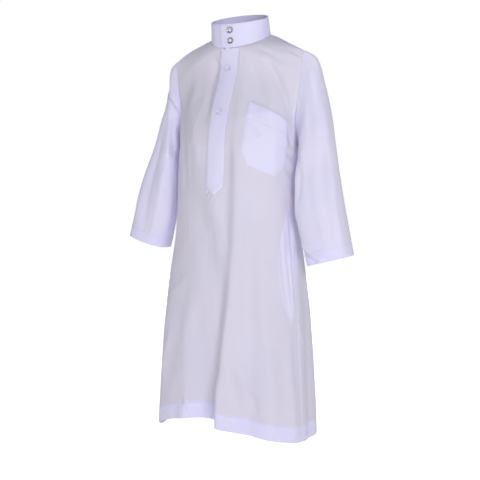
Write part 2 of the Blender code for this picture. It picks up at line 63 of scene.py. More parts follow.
# Neck seam and stand collar, as in the part's source
NECK_HALF_WIDTH = 0.057
NECK_HALF_DEPTH = 0.045
NECK_TILT = 0.0155
NECK_DIP = 0.0055
NECK_SHOULDER_ANGLE = math.radians(82)
COLLAR_TOP_HALF_WIDTH = 0.0550
COLLAR_TOP_HALF_DEPTH = 0.0430
COLLAR_TOP_FORWARD = 0.005
COLLAR_TOP_HEIGHT = 0.0336
COLLAR_TOP_TILT = 0.0125
COLLAR_HEIGHT = 0.041
OVERLAP_HALF = 0.018
LAP_EDGE_ANGLE = 0.262
LAP_START = 1.35 * math.pi
LAP_RUN = 0.45 * math.pi
COLLAR_END_ANGLE = math.asin(OVERLAP_HALF / NECK_HALF_WIDTH)
COLLAR_RUN = 2 * math.pi + COLLAR_END_ANGLE + LAP_EDGE_ANGLE

# Placket, chest pocket, side pockets and snaps
PLACKET_TOP = -0.0214
PLACKET_SHOULDER = -0.268
PLACKET_TIP = -0.283
PLACKET_HALF_TOP = 0.0185
PLACKET_HALF_FOOT = 0.0170
POCKET_TOP = ((0.277, -0.118), (0.785, -0.1545))
POCKET_FOOT = ((0.250, -0.226), (0.690, -0.2555))
POCKET_HEIGHT = POCKET_TOP[0][1] - POCKET_FOOT[0][1]
POCKET_CORNER = 0.020
POCKET_CORNER_SHARE = 0.31
POCKET_HEM = 0.0305
POCKET_SPLIT = POCKET_HEM / POCKET_HEIGHT
POCKET_TOP_ARCH = 0.002
BAG_TOP = -0.300
BAG_FOOT = -0.500
BAG_WIDTH = 0.046
BAG_INWARD = 0.0022
BAG_SHOWN_TOP = -0.284
BAG_SHOWN_FOOT = -0.502
BAG_BELLY = (0.14, 0.90)
BAG_ROUNDNESS = 0.6
BAG_SEAM_ANGLE = 2.0
SNAP_RADIUS = 0.0060
SNAP_HEIGHT = 0.0016
SNAP_SIDES = 48
SNAP_LIFT = 0.0002
SNAP_PROBE = 0.004
COLLAR_SNAP_TURN = 0.10
COLLAR_SNAPS = (("collar_snap_upper", 0.74), ("collar_snap_lower", 0.30))
PLACKET_SNAP_X = 0.001
PLACKET_SNAPS = (("placket_snap_upper", -0.058), ("placket_snap_lower", -0.137))

# Mesh resolution
FRONT_COLUMNS = 104
BACK_COLUMNS = 66
YOKE_ROWS = 68
SKIRT_ROWS = 160
BAND_ROWS = 16
SLEEVE_SIDES = 150
SLEEVE_ROWS = 150
SLEEVE_BAND_ROWS = 14
COLLAR_COLUMNS = 260
COLLAR_ROWS = 26
PLACKET_COLUMNS = 30
PLACKET_ROWS = 150
POCKET_COLUMNS = 64
POCKET_ROWS = 66
POCKET_HEM_ROWS = 22
BAG_COLUMNS = 26
BAG_ROWS = 80


def table(columns, *rows):
    """Rows of numbers, each with its columns' names."""
    return tuple(map(namedtuple("Row", columns)._make, rows))


# Body
ARMPIT_Z = -0.195
YOKE_FLATNESS = 0.75
YOKE_DROP_POWER = 1.2
HEM_BAND = 0.030
SLEEVE_HEM_BAND = 0.028
NECK_START = 8 / 13
BODY_RADIUS = 0.11
BODY_AXIS_Y = -0.008
RINGS = table(
    "z half_width front back seam_angle",
    (-0.195, 0.1165, -0.089, 0.074, 99),
    (-0.270, 0.1165, -0.094, 0.072, 93),
    (-0.320, 0.1185, -0.096, 0.072, 89),
    (-0.400, 0.1280, -0.100, 0.076, 81),
    (-0.500, 0.1400, -0.106, 0.082, 76),
    (-0.600, 0.1480, -0.112, 0.085, 75),
    (-0.730, 0.1545, -0.119, 0.090, 75),
)
FRONT_SPINE = table(
    "z y",
    (-0.195, -0.089), (-0.165, -0.084), (-0.133, -0.075), (-0.095, -0.060), (-0.060, -0.047),
    (-0.021, -0.045),
)
BACK_SPINE = table(
    "z y",
    (-0.195, 0.074), (-0.140, 0.076), (-0.085, 0.073), (-0.035, 0.060), (0.010, 0.045),
)
BOTTOM_EDGE = table(
    "angle z",
    (-180, -0.706), (-120, -0.714), (-78, -0.725), (-50, -0.706), (-25, -0.690), (-4, -0.686),
    (10, -0.695), (35, -0.706), (60, -0.716), (78, -0.719), (120, -0.715), (180, -0.706),
)
FOLDS = table(
    "hem_angle top_angle top_z full_z out right_flank left_flank",
    (-55, -60, -0.30, -0.52, 0.006, 20, 18),
    (-0.5, 8, -0.40, -0.73, -0.026, 22, 5),
    (-24, -18, -0.55, -0.73, 0.006, 6, 7),
    (8, 19, -0.19, -0.70, 0.008, 5, 11),
    (29, 30, -0.36, -0.70, -0.006, 9, 8),
    (45, 42, -0.30, -0.66, 0.006, 10, 11),
    (66, 78, -0.26, -0.60, 0.003, 7, 5),
    (92, 100, -0.30, -0.62, -0.007, 10, 8),
    (114, 114, -0.26, -0.60, 0.003, 9, 10),
    (137, 132, -0.34, -0.66, -0.009, 12, 10),
    (163, 158, -0.22, -0.62, 0.009, 11, 12),
    (-172, -174, -0.40, -0.70, -0.008, 10, 12),
    (-146, -150, -0.22, -0.60, 0.010, 12, 10),
    (-122, -124, -0.36, -0.66, -0.008, 9, 11),
    (-98, -104, -0.28, -0.60, 0.006, 10, 9),
)

# Armhole and sleeve of the left side, which the right side mirrors
ARMHOLE = table(
    "turn x y z",
    (0, 0.1350, -0.008, -0.0345),
    (45, 0.1295, -0.013, -0.069),
    (90, 0.1225, -0.014, -0.115),
    (135, 0.1175, -0.009, -0.163),
    (180, 0.1151, 0.0052, -0.195),
    (225, 0.1185, 0.024, -0.172),
    (270, 0.1240, 0.034, -0.125),
    (315, 0.1310, 0.018, -0.064),
)
SLEEVE = table(
    "t out_x out_y out_z in_x in_y in_z half_depth",
    (0.00, 0.137, 0.006, -0.040, 0.117, 0.004, -0.196, 0.028),
    (0.10, 0.157, 0.010, -0.053, 0.1235, 0.002, -0.200, 0.032),
    (0.20, 0.164, 0.013, -0.087, 0.1265, -0.004, -0.206, 0.032),
    (0.32, 0.172, 0.014, -0.124, 0.1280, -0.012, -0.219, 0.030),
    (0.44, 0.182, 0.010, -0.162, 0.128, -0.022, -0.238, 0.027),
    (0.58, 0.193, 0.003, -0.211, 0.129, -0.029, -0.264, 0.025),
    (0.76, 0.212, -0.012, -0.287, 0.130, -0.027, -0.322, 0.029),
    (0.90, 0.224, -0.015, -0.345, 0.141, -0.021, -0.372, 0.031),
    (1.00, 0.2320, -0.016, -0.386, 0.151, -0.018, -0.408, 0.032),
)
SLEEVE_BLEND = 0.40
SLEEVE_FLATNESS = 0.80
SLEEVE_LENGTH = 0.36
SLEEVE_RADIUS = 0.045
SLEEVE_RISE = 0.03
SHOULDER_TILT = 0.041
SHOULDER_TILT_RUN = 0.12
SLEEVE_TILT_RUN = 0.7
RIGHT_SLEEVE_LIFT = 0.012
RIGHT_CREASE_LIFT = 0.007
RIGHT_INNER_LIFT = 0.006
RIGHT_CREASE_TUCK = 0.013
SOFT_CREASE_SHARE = 0.25
SLEEVE_CREASES = table(
    "t turn out length width",
    (0.30, 95, -0.0030, 0.07, 24),
    (0.40, 70, 0.0025, 0.08, 26),
    (0.55, 110, -0.0025, 0.09, 26),
    (0.72, 60, 0.0025, 0.12, 24),
    (0.86, 120, -0.0025, 0.10, 26),
    (0.45, 250, -0.0030, 0.09, 30),
    (0.65, 285, 0.0025, 0.10, 26),
)

Crease = namedtuple("Crease", "out right left line")
CREASE_REACH = 2.6
CREASE_END_SHARE = 0.2


def read_creases(*rows):
    """Creases from rows of how far out they go, their right and left flanks, and their lines.

    The first three are in millimetres, and the flank towards the right side comes first.
    """
    return [Crease(out / 1000, right / 1000, left / 1000, line) for out, right, left, *line in rows]


# Creases of the body, along angles round it and millimetres below the neck seam
BODY_CREASES = read_creases(
    # left chest
    (-7, 11, 3.8, (66, 36), (73, 50), (77, 68), (79, 88), (81, 110), (82, 135), (83, 170), (85, 215)),
    (3, 7, 10, (82, 24), (86, 44), (87, 70), (87, 106), (87, 150)),
    (-2.4, 4, 4, (84, 24), (88, 40), (90, 62), (96, 85)),
    (-1.8, 6, 5, (60, 20), (72, 30), (82, 50)),
    (3.4, 14, 18, (36, 24), (38, 55), (36, 85), (33, 125), (30, 175)),
    (-2.6, 14, 14, (50, 26), (58, 60), (60, 100), (56, 145)),
    (2.4, 10, 10, (66, 75), (67, 120), (66, 200), (60, 290)),
    (-1.6, 7, 6, (42, 142), (47, 158), (54, 180)),
    # under the left arm
    (1.5, 5.2, 5.7, (74, 182), (84, 203), (97, 226)),
    (-1.4, 5.2, 5.2, (74, 198), (85, 219), (98, 244)),
    (1.5, 5.2, 5.7, (74, 214), (86, 236), (99, 260)),
    (-1.4, 5.2, 5.2, (74, 232), (85, 252), (98, 276)),
    (1.2, 5.7, 5.7, (75, 248), (85, 266), (97, 290)),
    (2.2, 4, 4, (80, 272), (85, 292), (86, 330), (82, 380)),
    (-2, 4, 4, (76, 276), (79, 300), (78, 350), (75, 400)),
    # the left side pocket
    (1.8, 3.5, 3.5, (80, 285), (77, 330), (76, 400), (75, 480), (73, 520)),
    (-1.8, 3, 3, (83, 290), (80.5, 340), (78, 410), (77, 490)),
    (1.4, 2.5, 3, (72, 330), (71, 390), (72, 460), (73, 500)),
    (-1.2, 3, 3, (69, 350), (68, 400), (70, 470)),
    # the long fold of the front and the slack beneath the placket
    (8.4, 12.5, 24, (26, 120), (27, 180), (27.5, 240), (27, 300), (26.5, 361), (24, 431), (20, 510),
     (15, 600), (8, 690)),
    (-3.4, 15, 9, (19, 140), (21, 215), (21, 291), (19, 361), (16, 431), (12.5, 510), (8, 600)),
    (3.6, 14, 12, (-4, 260), (3, 312), (10, 352), (13, 400), (12, 450)),
    (-4.6, 22, 18, (-44, 215), (-37, 268), (-26, 308), (-12, 352), (-1, 399), (6, 450), (8, 520)),
    (1.2, 2.2, 2.4, (0, 272), (-5, 279), (-11, 290)),
    (1.1, 2.2, 2.4, (3, 279), (-2, 286), (-6, 296)),
    (1, 2.2, 2.4, (7, 283), (4, 291), (2, 301)),
    (1.1, 2.2, 2.4, (-4, 266), (-9, 272), (-15, 282)),
    # right chest
    (-4.4, 12, 6, (-33, 28), (-38, 60), (-34, 95), (-27, 125), (-20, 160)),
    (2.2, 4, 4, (-40, 30), (-33, 40), (-27, 50)),
    (3.6, 12, 14, (-74, 45), (-68, 80), (-60, 120), (-42, 155), (-30, 200), (-26, 250)),
    (-3.4, 12, 10, (-84, 85), (-72, 134), (-58, 185), (-52, 240), (-46, 290)),
    (2.4, 10, 11, (-92, 130), (-84, 180), (-74, 235), (-66, 300), (-60, 380)),
    (-2.6, 7, 8, (-94, 150), (-88, 205), (-82, 262), (-76, 330)),
    # skirt
    (-2.2, 14, 16, (41, 300), (41, 352), (40, 396), (38, 448), (37, 520)),
    (2.2, 10, 12, (50, 330), (50, 390), (51, 447), (50, 530)),
    (-4, 12, 8, (22, 560), (28, 592), (35, 622), (44, 650), (52, 680), (52, 780)),
    (5.6, 2.8, 12, (10.5, 590), (9.5, 640), (9, 668), (8.5, 705), (8.5, 780)),
    (3, 7, 12, (19, 560), (25, 610), (29, 650), (32, 690), (32, 780)),
    (2.8, 10, 13, (48, 470), (52, 540), (56, 610), (60, 700), (60, 780)),
    (-2.8, 8, 10, (69, 440), (73, 520), (74, 600), (75, 700), (75, 780)),
    (-1.8, 14, 14, (-38, 480), (-45, 552), (-50, 599), (-55, 655), (-60, 705), (-60, 780)),
    (2, 14, 14, (-26, 440), (-32, 529), (-33, 602), (-32, 690), (-32, 780)),
    (2.6, 7, 7, (-52, 520), (-60, 600), (-66, 690), (-66, 780)),
    (-1.8, 14, 10, (-14, 450), (-16, 540), (-14, 630), (-12, 690), (-12, 780)),
    (2.4, 4, 5, (-32, 650), (-25, 668), (-17, 690)),
    (-2.2, 4, 4, (-37, 656), (-31, 672), (-24, 692)),
    (1.4, 12, 10, (-62, 480), (-46, 452), (-28, 420)),
    (1.4, 4, 4, (78, 500), (84, 545), (92, 560)),
    # back
    (5.6, 16, 14, (150, 45), (140, 100), (132, 170), (130, 250)),
    (-4.8, 10, 12, (165, 50), (160, 120), (158, 200), (160, 300)),
    (5.6, 14, 16, (-152, 50), (-142, 110), (-134, 180), (-132, 260)),
    (-5, 12, 10, (-172, 70), (-168, 150), (-166, 240), (-168, 340)),
    (3.9, 6, 6, (104, 190), (112, 215), (120, 250)),
    (-3.6, 6, 6, (106, 212), (114, 240), (121, 278)),
    (3.9, 6, 6, (-104, 188), (-112, 214), (-122, 252)),
    (-3.6, 6, 6, (-106, 212), (-115, 240), (-122, 280)),
    (5.9, 10, 14, (176, 240), (178, 380), (174, 520), (172, 690), (172, 780)),
    (-5, 12, 8, (148, 340), (150, 470), (148, 600), (150, 700), (150, 780)),
    (5, 9, 10, (126, 350), (124, 500), (125, 620), (124, 700), (124, 780)),
    (-4.8, 9, 10, (-158, 330), (-160, 480), (-158, 610), (-160, 700), (-160, 780)),
    (5.3, 10, 9, (-134, 320), (-133, 460), (-134, 600), (-133, 700), (-133, 780)),
    (-4.5, 8, 8, (-110, 360), (-110, 500), (-109, 620), (-110, 700), (-110, 780)),
)

# Creases of the sleeves, along shares of their length and turns round them
LEFT_SLEEVE_CREASES = read_creases(
    (2.8, 10, 8, (0.02, 40), (0.14, 52), (0.30, 62), (0.46, 70)),
    (-2.5, 8, 10, (0.04, 62), (0.18, 74), (0.34, 84), (0.50, 96)),
    (2.5, 8, 8, (0.20, 30), (0.40, 42), (0.60, 50), (0.80, 46), (0.97, 40)),
    (-2.2, 8, 8, (0.46, 62), (0.64, 72), (0.82, 66), (0.97, 62)),
    (2.8, 7, 7, (0.56, 92), (0.72, 88), (0.88, 82), (0.98, 78)),
    (3.2, 4, 5, (0.88, 158), (0.92, 130), (0.95, 108), (1.00, 84)),
    (-2.5, 4, 4, (0.905, 162), (0.945, 134), (0.975, 112), (1.00, 96)),
    (-2.8, 6, 6, (0.30, 150), (0.44, 138), (0.58, 132), (0.72, 140)),
    (2.5, 6, 6, (0.36, 170), (0.50, 158), (0.64, 150), (0.80, 156)),
    (3.2, 10, 10, (0.04, 320), (0.20, 300), (0.40, 290), (0.60, 286)),
    (-3, 10, 10, (0.10, 285), (0.28, 268), (0.46, 258), (0.66, 262)),
    (3, 8, 9, (0.24, 236), (0.42, 232), (0.60, 240), (0.80, 246)),
    (-2.5, 8, 8, (0.60, 318), (0.76, 310), (0.96, 316)),
)
RIGHT_SLEEVE_CREASES = read_creases(
    (4.2, 5.2, 24, (0.215, 22), (0.175, 48), (0.135, 66), (0.08, 82), (0.02, 98), (-0.03, 108)),
    (-3.6, 14, 5, (0.185, 26), (0.145, 52), (0.100, 70), (0.05, 86), (-0.02, 102)),
    (4.2, 6, 7, (0.11, 74), (0.20, 98), (0.34, 124), (0.46, 142)),
    (-3.2, 6, 6, (0.08, 92), (0.18, 118), (0.32, 146), (0.44, 160)),
    (3.5, 6, 6, (0.03, 104), (0.10, 134), (0.22, 158), (0.34, 172)),
    (2.9, 10, 10, (0.20, 44), (0.42, 52), (0.66, 56), (0.94, 54)),
    (-2.9, 9, 9, (0.34, 80), (0.54, 88), (0.74, 86), (0.96, 90)),
    (2.9, 8, 8, (0.56, 122), (0.72, 118), (0.88, 116), (0.99, 112)),
    (4.2, 10, 10, (0.04, 322), (0.22, 304), (0.42, 292), (0.62, 284)),
    (-3.8, 10, 10, (0.12, 280), (0.30, 262), (0.50, 256), (0.70, 262)),
    (3.5, 8, 9, (0.26, 230), (0.46, 236), (0.66, 242), (0.84, 244)),
)


# Forms

def mix(first, second, share):
    """Straight mix of two numbers or arrays."""
    return first + (second - first) * share


def smooth(share):
    """Ease from 0 to 1 with level ends."""
    share = np.clip(share, 0.0, 1.0)
    return share * share * (3 - 2 * share)


def bump(distance, width, power=2):
    """A bump of height 1 that falls away with distance."""
    return np.exp(-(distance / width) ** power)


def stack(*parts):
    """Points from their parts."""
    return np.stack(np.broadcast_arrays(*parts), axis=-1).astype(float)


def unit(vectors):
    """Vectors brought to length 1."""
    return vectors / np.maximum(np.linalg.norm(vectors, axis=-1, keepdims=True), 1e-12)


def spline(before, first, second, after, share):
    """Smooth curve from first to second, steered by the neighbours."""
    b = second - before
    c = 2 * before - 5 * first + 4 * second - after
    d = 3 * first - before - 3 * second + after
    return 0.5 * (2 * first + b * share + c * share ** 2 + d * share ** 3)


def read_table(rows, key, column, place, period=None):
    """Values of a table's column at places along its key, on a smooth curve."""
    keys = np.array([getattr(row, key) for row in rows], float)
    values = np.array([getattr(row, column) for row in rows], float)
    place = np.asarray(place, float)
    if period:
        place = place % period
        keys = np.concatenate([[keys[-1] - period], keys, [keys[0] + period, keys[1] + period]])
        values = np.concatenate([[values[-1]], values, values[:2]])
    if keys[-1] < keys[0]:
        keys, place = -keys, -place
    last = len(keys) - 2
    index = np.clip(np.searchsorted(keys, place, side="left") - 1, 0, last)
    share = np.clip((place - keys[index]) / (keys[index + 1] - keys[index]), 0, 1)
    before = values[np.maximum(index - 1, 0)]
    after = values[np.minimum(index + 2, len(values) - 1)]
    return spline(before, values[index], values[index + 1], after, share)


def wrap_angle(angle):
    """Angles in degrees, brought between -180 and 180."""
    return (angle + 180) % 360 - 180


def fold_offset(angle, z):
    """How far the folds move the skirt outwards."""
    total = np.zeros(np.broadcast(angle, z).shape)
    for fold in FOLDS:
        share = smooth((fold.top_z - z) / (fold.top_z - fold.full_z))
        centre = fold.top_angle + wrap_angle(fold.hem_angle - fold.top_angle) * share
        away = wrap_angle(angle - centre)
        flank = np.where(away < 0, fold.right_flank, fold.left_flank)
        total = total + fold.out * share * bump(away, flank)
    return total


def ring_shape(z):
    """Half width, middle and half depth of the body at heights."""
    half_width, front, back = (read_table(RINGS, "z", column, z) for column in ("half_width", "front", "back"))
    return half_width, (front + back) / 2, (back - front) / 2


def ring_point(angle, z, inward=0.0):
    """Points on the body's outer face below the armpits."""
    half_width, middle, half_depth = ring_shape(z)
    turn = np.radians(angle)
    place = stack(half_width * np.sin(turn), middle - half_depth * np.cos(turn), z)
    out = unit(stack(half_depth * np.sin(turn), -half_width * np.cos(turn), 0))
    return place + out * (fold_offset(angle, z) - inward)[..., None]


def seam_angle(z):
    """Angle of the side seams at a height."""
    return read_table(RINGS, "z", "seam_angle", z)


def bottom_z(angle):
    """Height of the bottom edge at an angle."""
    return read_table(BOTTOM_EDGE, "angle", "z", wrap_angle(angle))


def armhole_point(turn, side):
    """Points of the armhole seam."""
    x, y, z = (read_table(ARMHOLE, "turn", column, turn, 360) for column in ("x", "y", "z"))
    z = z + SHOULDER_TILT * side * x * smooth((z - ARMPIT_Z) / SHOULDER_TILT_RUN)
    return stack(side * x, y, z)


def neck_point(angle):
    """Points of the neck seam, at angles from the front in radians."""
    lean = np.cos(angle)
    lift = -NECK_TILT * lean - NECK_DIP * lean ** 2
    return stack(NECK_HALF_WIDTH * np.sin(angle), -NECK_HALF_DEPTH * lean, lift)


def collar_top(angle):
    """Points of the collar's top edge, at angles from the front in radians."""
    lean = np.cos(angle)
    return stack(COLLAR_TOP_HALF_WIDTH * np.sin(angle),
                 -COLLAR_TOP_HALF_DEPTH * lean - COLLAR_TOP_FORWARD,
                 COLLAR_TOP_HEIGHT - COLLAR_TOP_TILT * lean)


def yoke_point(across, row, back, side):
    """Points between the armpits and the shoulder seam."""
    spine = BACK_SPINE if back else FRONT_SPINE
    low_z = mix(ARMPIT_Z, spine[-1].z, np.clip(row / NECK_START, 0, 1))
    low = stack(0.0, read_table(spine, "z", "y", low_z), low_z)
    share = np.clip((row - NECK_START) / (1 - NECK_START), 0, 1)
    angle = mix(math.pi if back else 0.0, NECK_SHOULDER_ANGLE, share)
    high = neck_point(angle) * np.array([side, 1, 1])
    inner = np.where((row <= NECK_START)[..., None], low, high)
    outer = armhole_point(180 + 180 * row if back else 180 - 180 * row, side)
    seam = np.radians(seam_angle(ARMPIT_Z))
    reach = math.pi - seam if back else seam
    round_x = np.sin(across * reach) / np.sin(reach)
    round_y = (np.cos(across * reach) - np.cos(reach)) / (1 - np.cos(reach))
    flat = YOKE_FLATNESS * smooth(row)
    share_x = mix(round_x, across, flat)
    share_y = mix(1 - round_y, across, flat)
    return stack(mix(inner[..., 0], outer[..., 0], share_x),
                 mix(inner[..., 1], outer[..., 1], share_y),
                 mix(inner[..., 2], outer[..., 2], across ** YOKE_DROP_POWER))


def panel_angle(across, seam, back, side):
    """Angle round the body of a share across a panel's half."""
    return side * (180 - across * (180 - seam)) if back else side * across * seam


def panel_point(across, down, back, side):
    """Outer face of a panel: across 0 to 1, down -1 at the shoulder, 0 at the armpit, 1 at the foot."""
    across, down = np.broadcast_arrays(np.asarray(across, float), np.asarray(down, float))
    upper = yoke_point(across, np.clip(-down, 0, 1), back, side)
    below = np.clip(down, 0, 1)
    angle = panel_angle(across, seam_angle(mix(ARMPIT_Z, bottom_z(0), below)), back, side)
    lower = ring_point(angle, mix(ARMPIT_Z, bottom_z(angle) + HEM_BAND, below))
    return np.where((down < 0)[..., None], upper, lower)


def band_point(across, down, back):
    """Outer face of the bottom hem: across -1 to 1, down 0 at its stitched edge, 1 at the bottom."""
    seam = seam_angle(bottom_z(0) + HEM_BAND * (1 - down))
    angle = panel_angle(np.abs(across), seam, back, np.where(across >= 0, 1, -1))
    foot = bottom_z(angle)
    return ring_point(angle, mix(foot + HEM_BAND, foot, down))


def crease_height(creases, lines, places, outs):
    """Relief that creases give to places, each crease following its line in space."""
    total = np.zeros(places.shape[:-1])
    for crease, points in zip(creases, lines):
        reach = CREASE_REACH * max(crease.right, crease.left)
        low, high = points.min(axis=0) - reach, points.max(axis=0) + reach
        near = np.all((places > low) & (places < high), axis=-1)
        if not near.any():
            continue
        spots, out = places[near], outs[near]
        best = np.full(len(spots), 1e9)
        along, turned = np.zeros(len(spots)), np.zeros(len(spots))
        gone = 0.0
        for start, end in zip(points[:-1], points[1:]):
            span = np.linalg.norm(end - start)
            way = (end - start) / span
            run = np.clip((spots - start) @ way, 0, span)
            away = spots - start - run[:, None] * way
            distance = np.linalg.norm(away, axis=1)
            nearer = distance < best
            best = np.where(nearer, distance, best)
            along = np.where(nearer, gone + run, along)
            turned = np.where(nearer, np.sum(away * np.cross(out, way), axis=1), turned)
            gone += span
        flank = np.where(turned < 0, crease.right, crease.left)
        ends = smooth(along / gone / CREASE_END_SHARE) * smooth((1 - along / gone) / CREASE_END_SHARE)
        total[near] += crease.out * ends * bump(best, flank)
    return total


def ripple(first, second):
    """Slight unevenness of worn cloth, over two coordinates in metres."""
    height = 0.00035 * np.sin(first * 61 + 2.1 * np.sin(second * 17)) * np.sin(second * 23 + first * 11)
    height = height + 0.00022 * np.sin(first * 127 - second * 31 + 1.3 * np.sin(second * 43))
    return height + 0.00012 * np.sin(first * 240 + 37 * second + 1.7 * np.sin(first * 90))


def body_out(places):
    """Which way the body's relief goes at places on it."""
    x, y, z = np.moveaxis(places, -1, 0)
    flatter = 2.0 + 2.0 * smooth((z + 0.23) / 0.10)
    up = 0.12 * smooth((z + 0.12) / 0.10) * np.clip(np.abs(x) / 0.13, 0, 1)
    return unit(stack(x, (y - BODY_AXIS_Y) * flatter, up))


def dress(places):
    """Places on the plain body, moved out by its creases."""
    x, y, z = np.moveaxis(places, -1, 0)
    out = body_out(places)
    height = crease_height(BODY_CREASES, BODY_LINES, places, out)
    height = height + ripple(np.arctan2(x, -(y - BODY_AXIS_Y)) * BODY_RADIUS, z)
    return places + out * height[..., None]


def sleeve_section(t, turn, side):
    """Points of the plain sleeve tube and its middle line: turn 0 on the outer crease, 90 in front."""
    *ends, half_depth = (read_table(SLEEVE, "t", name, t) for name in SLEEVE[0]._fields[1:])
    outer, inner = stack(*ends[:3]), stack(*ends[3:])
    major = (outer - inner) / 2
    along = unit(major)
    forward = np.array([0.0, -1.0, 0.0])
    forward = unit(forward - along * (along @ forward)[..., None])
    angle = np.radians(turn)
    boxy = mix(1.0, SLEEVE_FLATNESS, smooth(t / 0.25))
    cosine, sine = (np.sign(part) * np.abs(part) ** boxy for part in (np.cos(angle), np.sin(angle)))
    swell = np.ones(np.broadcast(t, turn).shape)
    for crease in SLEEVE_CREASES:
        round_it, along_it = wrap_angle(turn - crease.turn) / crease.width, (t - crease.t) / crease.length
        swell = swell + SOFT_CREASE_SHARE * crease.out / half_depth * np.exp(-(round_it ** 2 + along_it ** 2))
    centre = (outer + inner) / 2
    place = centre + major * cosine[..., None]
    x, y, z = np.moveaxis(place + forward * (half_depth * sine * swell)[..., None], -1, 0)
    outer_share = (1 + np.cos(angle)) / 2
    if side < 0:
        z = z + RIGHT_SLEEVE_LIFT * smooth(t) + t * mix(RIGHT_INNER_LIFT, RIGHT_CREASE_LIFT, outer_share)
        x = x - RIGHT_CREASE_TUCK * outer_share * np.sin(math.pi * t)
    z = z + SHOULDER_TILT * side * x * outer_share * (1 - smooth(t / SLEEVE_TILT_RUN))
    return stack(side * x, y, z), centre * np.array([side, 1, 1])


def sleeve_point(t, turn, side):
    """Outer face of a sleeve, from the armhole seam at t 0 to the cuff at t 1, creased."""
    place, centre = sleeve_section(t, turn, side)
    miss = dress(armhole_point(turn, side)) - sleeve_section(np.zeros_like(t), turn, side)[0]
    place = place + miss * (1 - smooth(t / SLEEVE_BLEND))[..., None]
    out = unit(place - centre)
    creases = LEFT_SLEEVE_CREASES if side > 0 else RIGHT_SLEEVE_CREASES
    lines = [sleeve_section(*np.array(crease.line, float).T, side)[0] for crease in creases]
    height = crease_height(creases, lines, place, out * side)
    height = height + ripple(np.sin(np.radians(turn)) * SLEEVE_RADIUS, t * SLEEVE_LENGTH)
    return place + out * (height * smooth(t / SLEEVE_RISE))[..., None]


def collar_place(share, up):
    """Outer face of the collar: share runs from the hidden right end round to the top left end."""
    angle = COLLAR_END_ANGLE - share * COLLAR_RUN
    out = smooth((-angle - LAP_START) / LAP_RUN) * (INTERLINED + LAYER_GAP)
    away = unit(stack(np.sin(angle) * NECK_HALF_DEPTH, -np.cos(angle) * NECK_HALF_WIDTH, 0))
    return mix(neck_point(angle), collar_top(angle), up[..., None]) + away * out[..., None]


# Grids of places and the pieces laid through them

def surface_normals(places):
    """Normals of a grid of places, from its rows and columns."""
    return unit(np.cross(np.gradient(places, axis=1), np.gradient(places, axis=0)))


def slope(place, first, second, first_step, second_step):
    """Normals of a surface that a function of two shares gives."""
    beside = place(first + first_step, second) - place(first - first_step, second)
    above = place(first, second + second_step) - place(first, second - second_step)
    return unit(np.cross(beside, above))


def runs(places, axis):
    """Distance run along a grid's rows or columns, from its first edge."""
    steps = np.linalg.norm(np.diff(places, axis=axis), axis=-1)
    zero = np.zeros_like(np.take(steps, [0], axis=axis))
    return np.concatenate([zero, np.cumsum(steps, axis=axis)], axis=axis)


def near_edges(places, *edges):
    """Distance of every place in a grid to the nearest of the named edges."""
    across, up = runs(places, 1), runs(places, 0)
    distances = {"left": across, "right": across[:, -1:] - across, "foot": up, "head": up[-1:, :] - up}
    return np.minimum.reduce([distances[edge] for edge in edges])


def lay_grid(surface, places, flats, doubled=None):
    """A grid of faces through an array of places, with cloth coordinates in metres."""
    rows, columns = places.shape[0] - 1, places.shape[1] - 1
    uv = surface.loops.layers.uv.verify()
    layer = surface.verts.layers.float.get("doubled") or surface.verts.layers.float.new("doubled")
    made = bmesh.ops.create_grid(surface, x_segments=columns, y_segments=rows, size=0.5)["verts"]
    spots = {}
    for vertex in made:
        spot = (round((vertex.co.y + 0.5) * rows), round((vertex.co.x + 0.5) * columns))
        spots[vertex] = spot
        vertex.co = places[spot]
        if doubled is not None:
            vertex[layer] = doubled[spot]
    for face in {face for vertex in made for face in vertex.link_faces}:
        for loop in face.loops:
            loop[uv].uv = flats[spots[loop.vert]]


def body_lines():
    """The lines of the body's creases in space, met by rays from its axis on the plain body."""
    surface = bmesh.new()
    for back in (False, True):
        for side in (1, -1):
            across, down = np.linspace(0, 1, 31)[None, :], np.linspace(1.05, -1, 121)[:, None]
            places = panel_point(across, down, back, side)
            lay_grid(surface, places, places[..., :2])
    tree = BVHTree.FromBMesh(surface)
    surface.free()

    def meet(angle, depth):
        turn = math.radians(angle)
        way = Vector((math.sin(turn), -math.cos(turn), 0))
        centre = Vector((0, BODY_AXIS_Y, -depth / 1000))
        return tree.ray_cast(centre, way)[0] or centre + way * BODY_RADIUS

    return [np.array([meet(*spot) for spot in crease.line]) for crease in BODY_CREASES]


BODY_LINES = body_lines()


def finish_piece(name, surface, thickness, material, nodes, flip=False):
    """Turn an open surface into a thin cloth shell that stands for its CAD nodes."""
    bmesh.ops.remove_doubles(surface, verts=surface.verts, dist=MERGE)
    if flip:
        bmesh.ops.reverse_faces(surface, faces=surface.faces)
    for face in surface.faces:
        face.smooth = True
    for edge in surface.edges:
        edge.smooth = not edge.is_boundary
    mesh = bpy.data.meshes.new(name)
    surface.to_mesh(mesh)
    surface.free()
    mesh.materials.append(material)
    piece = bpy.data.objects.new(name, mesh)
    bpy.context.scene.collection.objects.link(piece)
    if thickness:
        wall = piece.modifiers.new("Wall", "SOLIDIFY")
        wall.thickness = thickness
        wall.offset = -1
        wall.use_even_offset = True
        wall.use_rim = True
    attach(piece, "root")
    if nodes:
        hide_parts(*nodes)
    return piece


def cloth_piece(name, grids, thickness, material, nodes, flip=False):
    """A cloth shell through grids of places, each with its cloth coordinates and doubled shares."""
    surface = bmesh.new()
    for grid in grids:
        lay_grid(surface, *grid)
    return finish_piece(name, surface, thickness, material, nodes, flip)


# Materials

